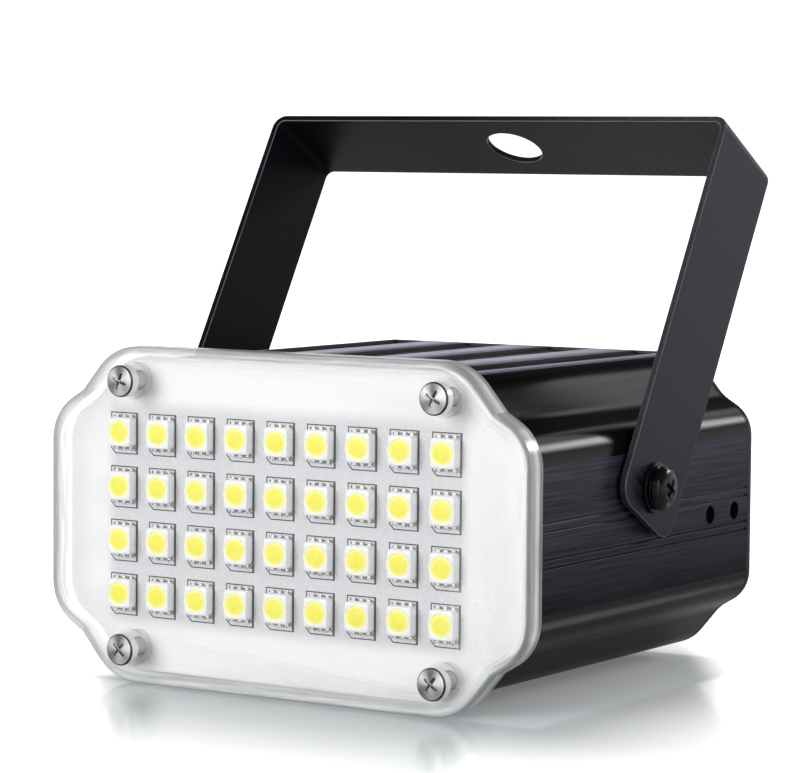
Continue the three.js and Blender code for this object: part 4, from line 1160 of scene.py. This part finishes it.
def makePivots():
    bore = pivotShape['bore']
    axis = (0, pivotPlace[1], pivotPlace[2])
    for name, side, turn, inward in (('left', -1, alongMinusX, alongX),
                                     ('right', 1, alongX, alongMinusX)):

        def span(node):
            # nearest and farthest along X, the sizes along Y and Z, and the place of the near end
            low, high = nodeBox(f'{node}_{name}')
            near, far = sorted([abs(low[0]), abs(high[0])])
            return near, far, (high - low)[1:], (side * near, *axis[1:])

        near, far, _, _ = span('pivot_screw')
        seat = far - pivotHead['rise']
        head = dict(pivotHead, length=seat - near)
        makePiece(f'pivotScrew_{name}', [screwSurface(head, (side * seat, *axis[1:]), inward)],
                  [blackScrewFinish], 'black_screw', f'pivot_screw_{name}', sharp=40)
        for node, finish, slot in (('pivot_flat_washer', blackScrewFinish, 'black_screw'),
                                   ('friction_washer', nylonFinish, 'black_nylon')):
            near, far, across, _ = span(node)
            ring = washerSurface(bore, across[1] / 2, far - near, near, axis, turn)
            makePiece(f'{node}_{name}_ring', [ring], [finish], slot, f'{node}_{name}')
        near, far, across, centre = span('pivot_spring_washer')
        ring = springWasherSurface(bore, across[1] / 2, far - near, centre, turn)
        makePiece(f'springWasher_{name}', [ring], [blackScrewFinish], 'black_screw',
                  f'pivot_spring_washer_{name}', sharp=50)
        near, far, across, centre = span('pivot_nut')
        makePiece(f'pivotNut_{name}', [nutSurface(min(across), bore, far - near, centre, turn)],
                  [nutFinish], 'nickel_screw', f'pivot_nut_{name}')


makePivots()
print('pivots made')


# Rear panel with the speed knob and the cord gland
panelLow, panelHigh = nodeBox('rear_panel')
rearShape = {
    'edge': 0.3, 'easeShare': 0.3, 'bushHole': 3.75, 'glandHole': 6.25, 'shaftSides': 64,
}
knobShape = {
    'edge': 0.9, 'edgeSteps': 6, 'skirt': 2.4, 'taper': 1.2, 'dish': 0.3, 'flutes': 24,
    'perFlute': 12, 'fluteDepth': 0.42, 'bore': 3.25, 'boreEndFromFace': 3.0, 'markWidth': 1.0,
    'markSpan': (0.15, 0.78), 'markLow': -0.35, 'markHigh': -0.18,
}
glandShape = {
    'seat': 0.2, 'sides': 192, 'cap': 7.5, 'bore': 3.6, 'thread': 6.0, 'threadDepth': 0.35,
    'pitch': 1.0, 'corner': 1.12, 'flange': 3.0, 'capFoot': 0.94, 'ribs': 24, 'ribDepth': 0.035,
    'ribSpan': (3.7, 8.4), 'dome': 2.4, 'domeSteps': 7,
}


def makePanel():
    front, rear, edge = panelLow[1], panelHigh[1], rearShape['edge']
    ease = edge * rearShape['easeShare']
    grow = panelHigh[0] - housingHigh[0]
    plate = stack([bodyLoop(grow - less) for less in (ease, 0, 0, ease, edge)],
                  [front, front + ease, rear - edge, rear - ease, rear], [0, 1, 0, 0], True, True)
    piece = makePiece('rearPanelPlate', [plate], [panelFinish, anodised], 'black_panel',
                      'rear_panel', sharp=25)
    holes = portHoles(front - overrun, rear + overrun)
    for key, node in (('bushHole', 'pot_nut'), ('glandHole', 'cord_gland')):
        x, _, z = nodeCentre(node)
        holes.append(rod(rearShape[key], front - overrun, rear + overrun, (x, 0, z)))
    cutHoles(piece, holes, 25)


def makeKnob():
    # radius by height and angle: the turned profile, drawn in by flutes above the skirt
    shape = knobShape
    low, high = nodeBox('speed_knob')
    centre = ((low[0] + high[0]) / 2, low[1], (low[2] + high[2]) / 2)
    length, radius = high[1] - low[1], (high[0] - low[0]) / 2
    top, edge, skirt, dish = radius - shape['taper'], shape['edge'], shape['skirt'], shape['dish']
    rim = roundTurn((top - edge, length - edge), edge, 0, 90, shape['edgeSteps'])
    bore, boreEnd = shape['bore'], length - shape['boreEndFromFace']
    profile = np.array([
        (0, boreEnd), (bore, boreEnd), (bore, 0), (radius - 0.3, 0), (radius, 0.3),
        (radius, skirt - 0.3), (radius - 0.3, skirt), (top + 0.7, skirt + 0.15),
        (top + 0.45, skirt + 1.2), *rim, (top * 0.86, length), (top * 0.8, length - 0.25),
        (top * 0.4, length - dish), (0, length - dish)])
    angle = np.linspace(0, fullTurn, shape['flutes'] * shape['perFlute'] + 1)
    points = turnedRings(profile, angle)
    wave = np.clip(np.cos(angle * shape['flutes']), -0.3, 1) * 0.5 + 0.15
    rise = np.clip((profile[:, 1] - skirt - 0.4) / 0.8, 0, 1) * (profile[:, 0] > top * 0.9)
    shrink = 1 - shape['fluteDepth'] * rise[:, None] * wave[None] / radius * 1.6
    points[..., ::2] *= shrink[..., None]
    makePiece('speedKnobBody', [gridSurface(placed(points, centre))], [knobFinish], 'black_knob',
              'speed_knob', sharp=32, body='knob')
    # painted pointer: a thin bar over the face
    half, (start, end) = shape['markWidth'] / 2, shape['markSpan']
    bar = boxSurface((centre[0] - half, high[1] + shape['markLow'], centre[2] + top * start),
                     (centre[0] + half, high[1] + shape['markHigh'], centre[2] + top * end))
    makePiece('knobPointer', [bar], [markFinish], 'black_knob', body='knob')


def makeNut(name, node, axisNode, bore, finish, slot):
    low, high = nodeBox(node)
    x, _, z = nodeCentre(axisNode)
    across = min(high[0] - low[0], high[2] - low[2])
    nut = nutSurface(across, bore, high[1] - low[1], (x, low[1], z))
    makePiece(name, [nut], [finish], slot, node)


def makeControl():
    low, high = nodeBox('pot_shaft')
    x, _, z = nodeCentre('pot_shaft')
    radius, start, end = (high[0] - low[0]) / 2, low[1], high[1]
    section = [(0, start), (radius - 0.2, start), (radius, start + 0.2), (radius, end - 0.4),
               (radius - 0.4, end), (0, end)]
    makePiece('controlShaft', [turnedSurface(section, rearShape['shaftSides'], (x, 0, z))],
              [steelFinish], 'control_metal', 'pot_shaft', body='knob')
    makeNut('controlNut', 'pot_nut', 'pot_shaft', rearShape['bushHole'], nutFinish, 'nickel_screw')


def makeGland():
    # a closed section carried round: thread, hexagon flange, domed cap with ribs, and the bore
    shape = glandShape
    low, high = nodeBox('cord_gland')
    x, _, z = nodeCentre('cord_gland')
    start, seat, end = low[1], panelHigh[1] + shape['seat'], high[1]
    angle = np.linspace(0, fullTurn, shape['sides'] + 1)
    flats = hexagon(min(high[0] - low[0], high[2] - low[2]) / 2, angle, shape['corner'])
    bore, thread, cap, flange = shape['bore'], shape['thread'], shape['cap'], seat + shape['flange']
    foot, (ribStart, ribEnd) = cap * shape['capFoot'], seat + np.array(shape['ribSpan'])
    ribbed = cap * (1 - shape['ribDepth'] * np.clip(np.cos(angle * shape['ribs']), 0, 1))
    turns = np.arange(start + 0.4, seat - 0.6, shape['pitch'] / 2)
    dome = roundTurn((cap - shape['dome'], ribEnd), shape['dome'], 10, 90, shape['domeSteps'])
    rows = [
        (bore, start), (thread, start),
        *((thread - shape['threadDepth'] * (k % 2), place) for k, place in enumerate(turns)),
        (thread, seat), (flats * 0.97, seat), (flats, seat + 0.35), (flats, flange - 0.35),
        (flats * 0.97, flange), (foot, flange), (foot, flange + 0.4), (ribbed, ribStart),
        (ribbed, ribEnd), *dome, (bore + 0.5, end), (bore, end - 0.5), (bore, start)]
    points = turnedRings(rows, angle)
    points[..., 1] = np.clip(points[..., 1], start, end)
    makePiece('cordGlandBody', [gridSurface(placed(points, (x, 0, z)))], [nylonFinish],
              'black_nylon', 'cord_gland', sharp=30)
    makeNut('glandLockNut', 'gland_lock_nut', 'cord_gland', rearShape['glandHole'], nylonFinish,
            'black_nylon')


makePanel()
makeKnob()
makeControl()
makeGland()
print('rear made')


# Pieces inside keep their own solids and get a finish each: two colours, roughness, scale, metal
plainMetal = ((0.4, 0.4, 0.41), (0.55, 0.55, 0.56), (0.3, 0.4), 1500, 1.0)
blueSleeve = ((0.015, 0.018, 0.04), (0.025, 0.03, 0.06), (0.3, 0.4), 700, 0.0)
blackResin = ((0.012, 0.012, 0.013), (0.02, 0.02, 0.021), (0.5, 0.6), 1600, 0.0)
insideFinishes = {
    'pot_body': plainMetal,
    'control_board': ((0.02, 0.14, 0.06), (0.03, 0.19, 0.08), (0.35, 0.5), 900, 0.0),
    'capacitor_large': blueSleeve,
    'capacitor_small': blueSleeve,
    'rectifier': blackResin,
    'driver_transistor_1': blackResin,
    'driver_transistor_2': blackResin,
    'fuse': ((0.6, 0.62, 0.61), (0.75, 0.77, 0.76), (0.08, 0.14), 600, 0.0),
    'terminal_block': ((0.02, 0.2, 0.08), (0.03, 0.26, 0.1), (0.4, 0.5), 900, 0.0),
    'microphone': ((0.45, 0.45, 0.46), (0.6, 0.6, 0.61), (0.28, 0.4), 1500, 1.0),
    'trimmer': ((0.02, 0.09, 0.33), (0.03, 0.13, 0.42), (0.35, 0.45), 900, 0.0),
    'lamp_lead_positive': ((0.33, 0.012, 0.01), (0.42, 0.02, 0.015), (0.4, 0.5), 900, 0.0),
    'lamp_lead_negative': (0.01, 0.018, (0.4, 0.5), 900, 0.0),
}
for node, (dark, light, rough, scale, metal) in insideFinishes.items():
    material = makeFinish(f'{node}_finish', dark, light, rough, scale, bump=0.005, Metallic=metal)
    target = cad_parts[node]
    target.data.materials.clear()
    target.data.materials.append(material)
print('inside finished')


# Floor, light and the white surroundings
stageValues = {
    'floorLevel': coverLow[2] - 0.05, 'radius': 3000.0, 'rings': (0, 60, 200, 500),
    'wallHeight': 600.0, 'sweepRadius': 150.0, 'sweepSteps': 8, 'sides': 96, 'sharp': 60,
    'floorColour': (0.54, 0.57, 0.59), 'floorRoughness': 0.17, 'floorSpecular': 0.5,
    'specularTo': 8.0, 'footprint': (50.0, 42.0), 'liftSpan': (-18.0, 58.0), 'frontLag': 28.0,
    'frontSpan': (-46.0, -34.0), 'leftSpan': (-57.0, -47.0), 'rightSpan': (0.0, 14.0),
    'sideLead': 34.0, 'leadLeft': (-61.0, -54.0), 'leadRight': (56.0, 64.0), 'leadShift': 6.0,
    'leadSpan': (-44.0, -36.0), 'glossFall': (-100.0, 60.0), 'glossRise': (130.0, 620.0),
    'glossLift': (1.0, 0.02, 0.75),  # left of the fall, right of it, and what the rise adds
    'ambient': 0.46, 'inGloss': 0.04,
}
farAway = 1e6  # mm, a limit that is never met
lamps = [
    # name, place in mm, aim in mm, width, height in mm, watts
    ('key', (-380, -1080, 360), (0, -40, 30), 700, 600, 8.9),
    ('backRight', (398, 752, 364), (40, 0, 45), 270, 140, 1.75),
    ('backGlow', (160, 740, 515), (40, 0, 45), 260, 240, 0.37),
    ('right', (950, -420, 380), (40, 0, 30), 400, 500, 3.0),
]


def pastFootprint(vector):
    # how far a place on the floor lies outside a rectangle under the object
    beyond = vector
    footprint = (*stageValues['footprint'], farAway)
    for operation, amount in (('ABSOLUTE', (0, 0, 0)), ('MAXIMUM', footprint),
                              ('SUBTRACT', footprint), ('LENGTH', (0, 0, 0))):
        step = addNode(vector, 'VectorMath', {0: beyond, 1: [value * mm for value in amount]})
        step.operation = operation
        beyond = step.outputs['Value' if operation == 'LENGTH' else 'Vector']
    return beyond


def makeFloorFinish():
    # pale, and white to the camera further out: the lift to white grows with the distance from the
    # footprint, later in front of the object, and in gloss it falls off to the right, so that the
    # object's right side stays dark. Near the object the missing lift leaves a painted shadow,
    # shaped round the real shadow and mirror image.
    values = stageValues
    material, shader, vector = startMaterial('paleFloor')
    x, y, _ = splitAxes(vector)

    def ramp(place, low, high, key, shift=0.0):
        # from low to high over the span of that name
        return addRange(place, low, high, *((value + shift) * mm for value in values[key]))

    beyond = pastFootprint(vector)
    specular = addRange(beyond, 0.0, values['floorSpecular'], 0.0, values['specularTo'] * mm)
    # the lag covers the cover's mirror image, whose sides run along the view, and holds the painted
    # shadow there
    view = math.radians(photoView['azimuth'])
    level = addMath('ADD', addMath('MULTIPLY', x, math.cos(view)),
                    addMath('MULTIPLY', y, math.sin(view)))
    lag = ramp(y, values['frontLag'] * mm, 0.0, 'frontSpan')
    for key, ends in (('leftSpan', (0.0, 1.0)), ('rightSpan', (1.0, 0.0))):
        lag = addMath('MULTIPLY', lag, ramp(level, *ends, key))
    beyond = addMath('SUBTRACT', beyond, lag)
    # left and right of both mirror images the floor is white from the start, and behind the cover
    # a little nearer to the middle
    lead = values['sideLead'] * mm
    behind = ramp(y, 0.0, lead, 'leadSpan')
    for key, ends, inwards in (('leadLeft', (1.0, 0.0), 1), ('leadRight', (0.0, 1.0), -1)):
        share = addMath('MULTIPLY', behind, ramp(level, *ends, key, inwards * values['leadShift']))
        whole = ramp(level, *(end * lead for end in ends), key)
        beyond = addMath('ADD', addMath('ADD', beyond, share), whole)
    lift = ramp(beyond, 0.0, 1.0, 'liftSpan')
    most, least, far = values['glossLift']
    inGloss = addMath('MULTIPLY', addMath('ADD', ramp(x, most, least, 'glossFall'),
                                          ramp(x, 0.0, far, 'glossRise')), lift)
    path = addNode(shader, 'LightPath').outputs
    seen = addMath('MAXIMUM', seenDirectly(path),
                   addMath('MULTIPLY', path['Is Glossy Ray'], inGloss))
    feed(shader, {'Base Color': values['floorColour'], 'Roughness': values['floorRoughness'],
                  'Specular IOR Level': specular, 'Emission Color': 1,
                  'Emission Strength': addMath('MULTIPLY', seen, lift)})
    return material


def makeStage():
    # a round floor that turns up into a low wall, in a room that is white to the camera
    values = stageValues
    radius, bend = values['radius'], values['sweepRadius']
    sweep = roundTurn((radius - bend, bend), bend, -90, 0, values['sweepSteps'])
    profile = [*((ring, 0) for ring in values['rings']), *sweep, (radius, values['wallHeight'])]
    points = turnedPoints(profile, values['sides'])[..., [0, 2, 1]]
    points[..., 2] += values['floorLevel']
    floor = linkNew('floor', makeMesh(
        'floor', [gridSurface(points)], [makeFloorFinish()], values['sharp']))

    world = bpy.data.worlds.new('surroundings')
    bpy.context.scene.world = world
    world.use_nodes = True
    background = world.node_tree.nodes['Background']
    path = addNode(background, 'LightPath').outputs
    gloss = addRange(path['Is Glossy Ray'], values['ambient'], values['inGloss'], 0.0, 1.0)
    feed(background, {'Color': 1, 'Strength': addMath('MAXIMUM', seenDirectly(path), gloss)})


def makeLamps():
    for name, place, aim, width, height, watts in lamps:
        light = bpy.data.lights.new(name, 'AREA')
        light.shape, light.size, light.size_y = 'RECTANGLE', width * mm, height * mm
        light.energy = watts
        holder = linkNew(name, light)
        spot, target = Vector(place) * mm, Vector(aim) * mm
        holder.location, holder.rotation_mode = spot, 'QUATERNION'
        holder.rotation_quaternion = (target - spot).to_track_quat('-Z', 'Y')
        holder.visible_camera = False


makeStage()
makeLamps()
bpy.context.scene.view_settings.view_transform = 'Standard'
print('stage and light made')
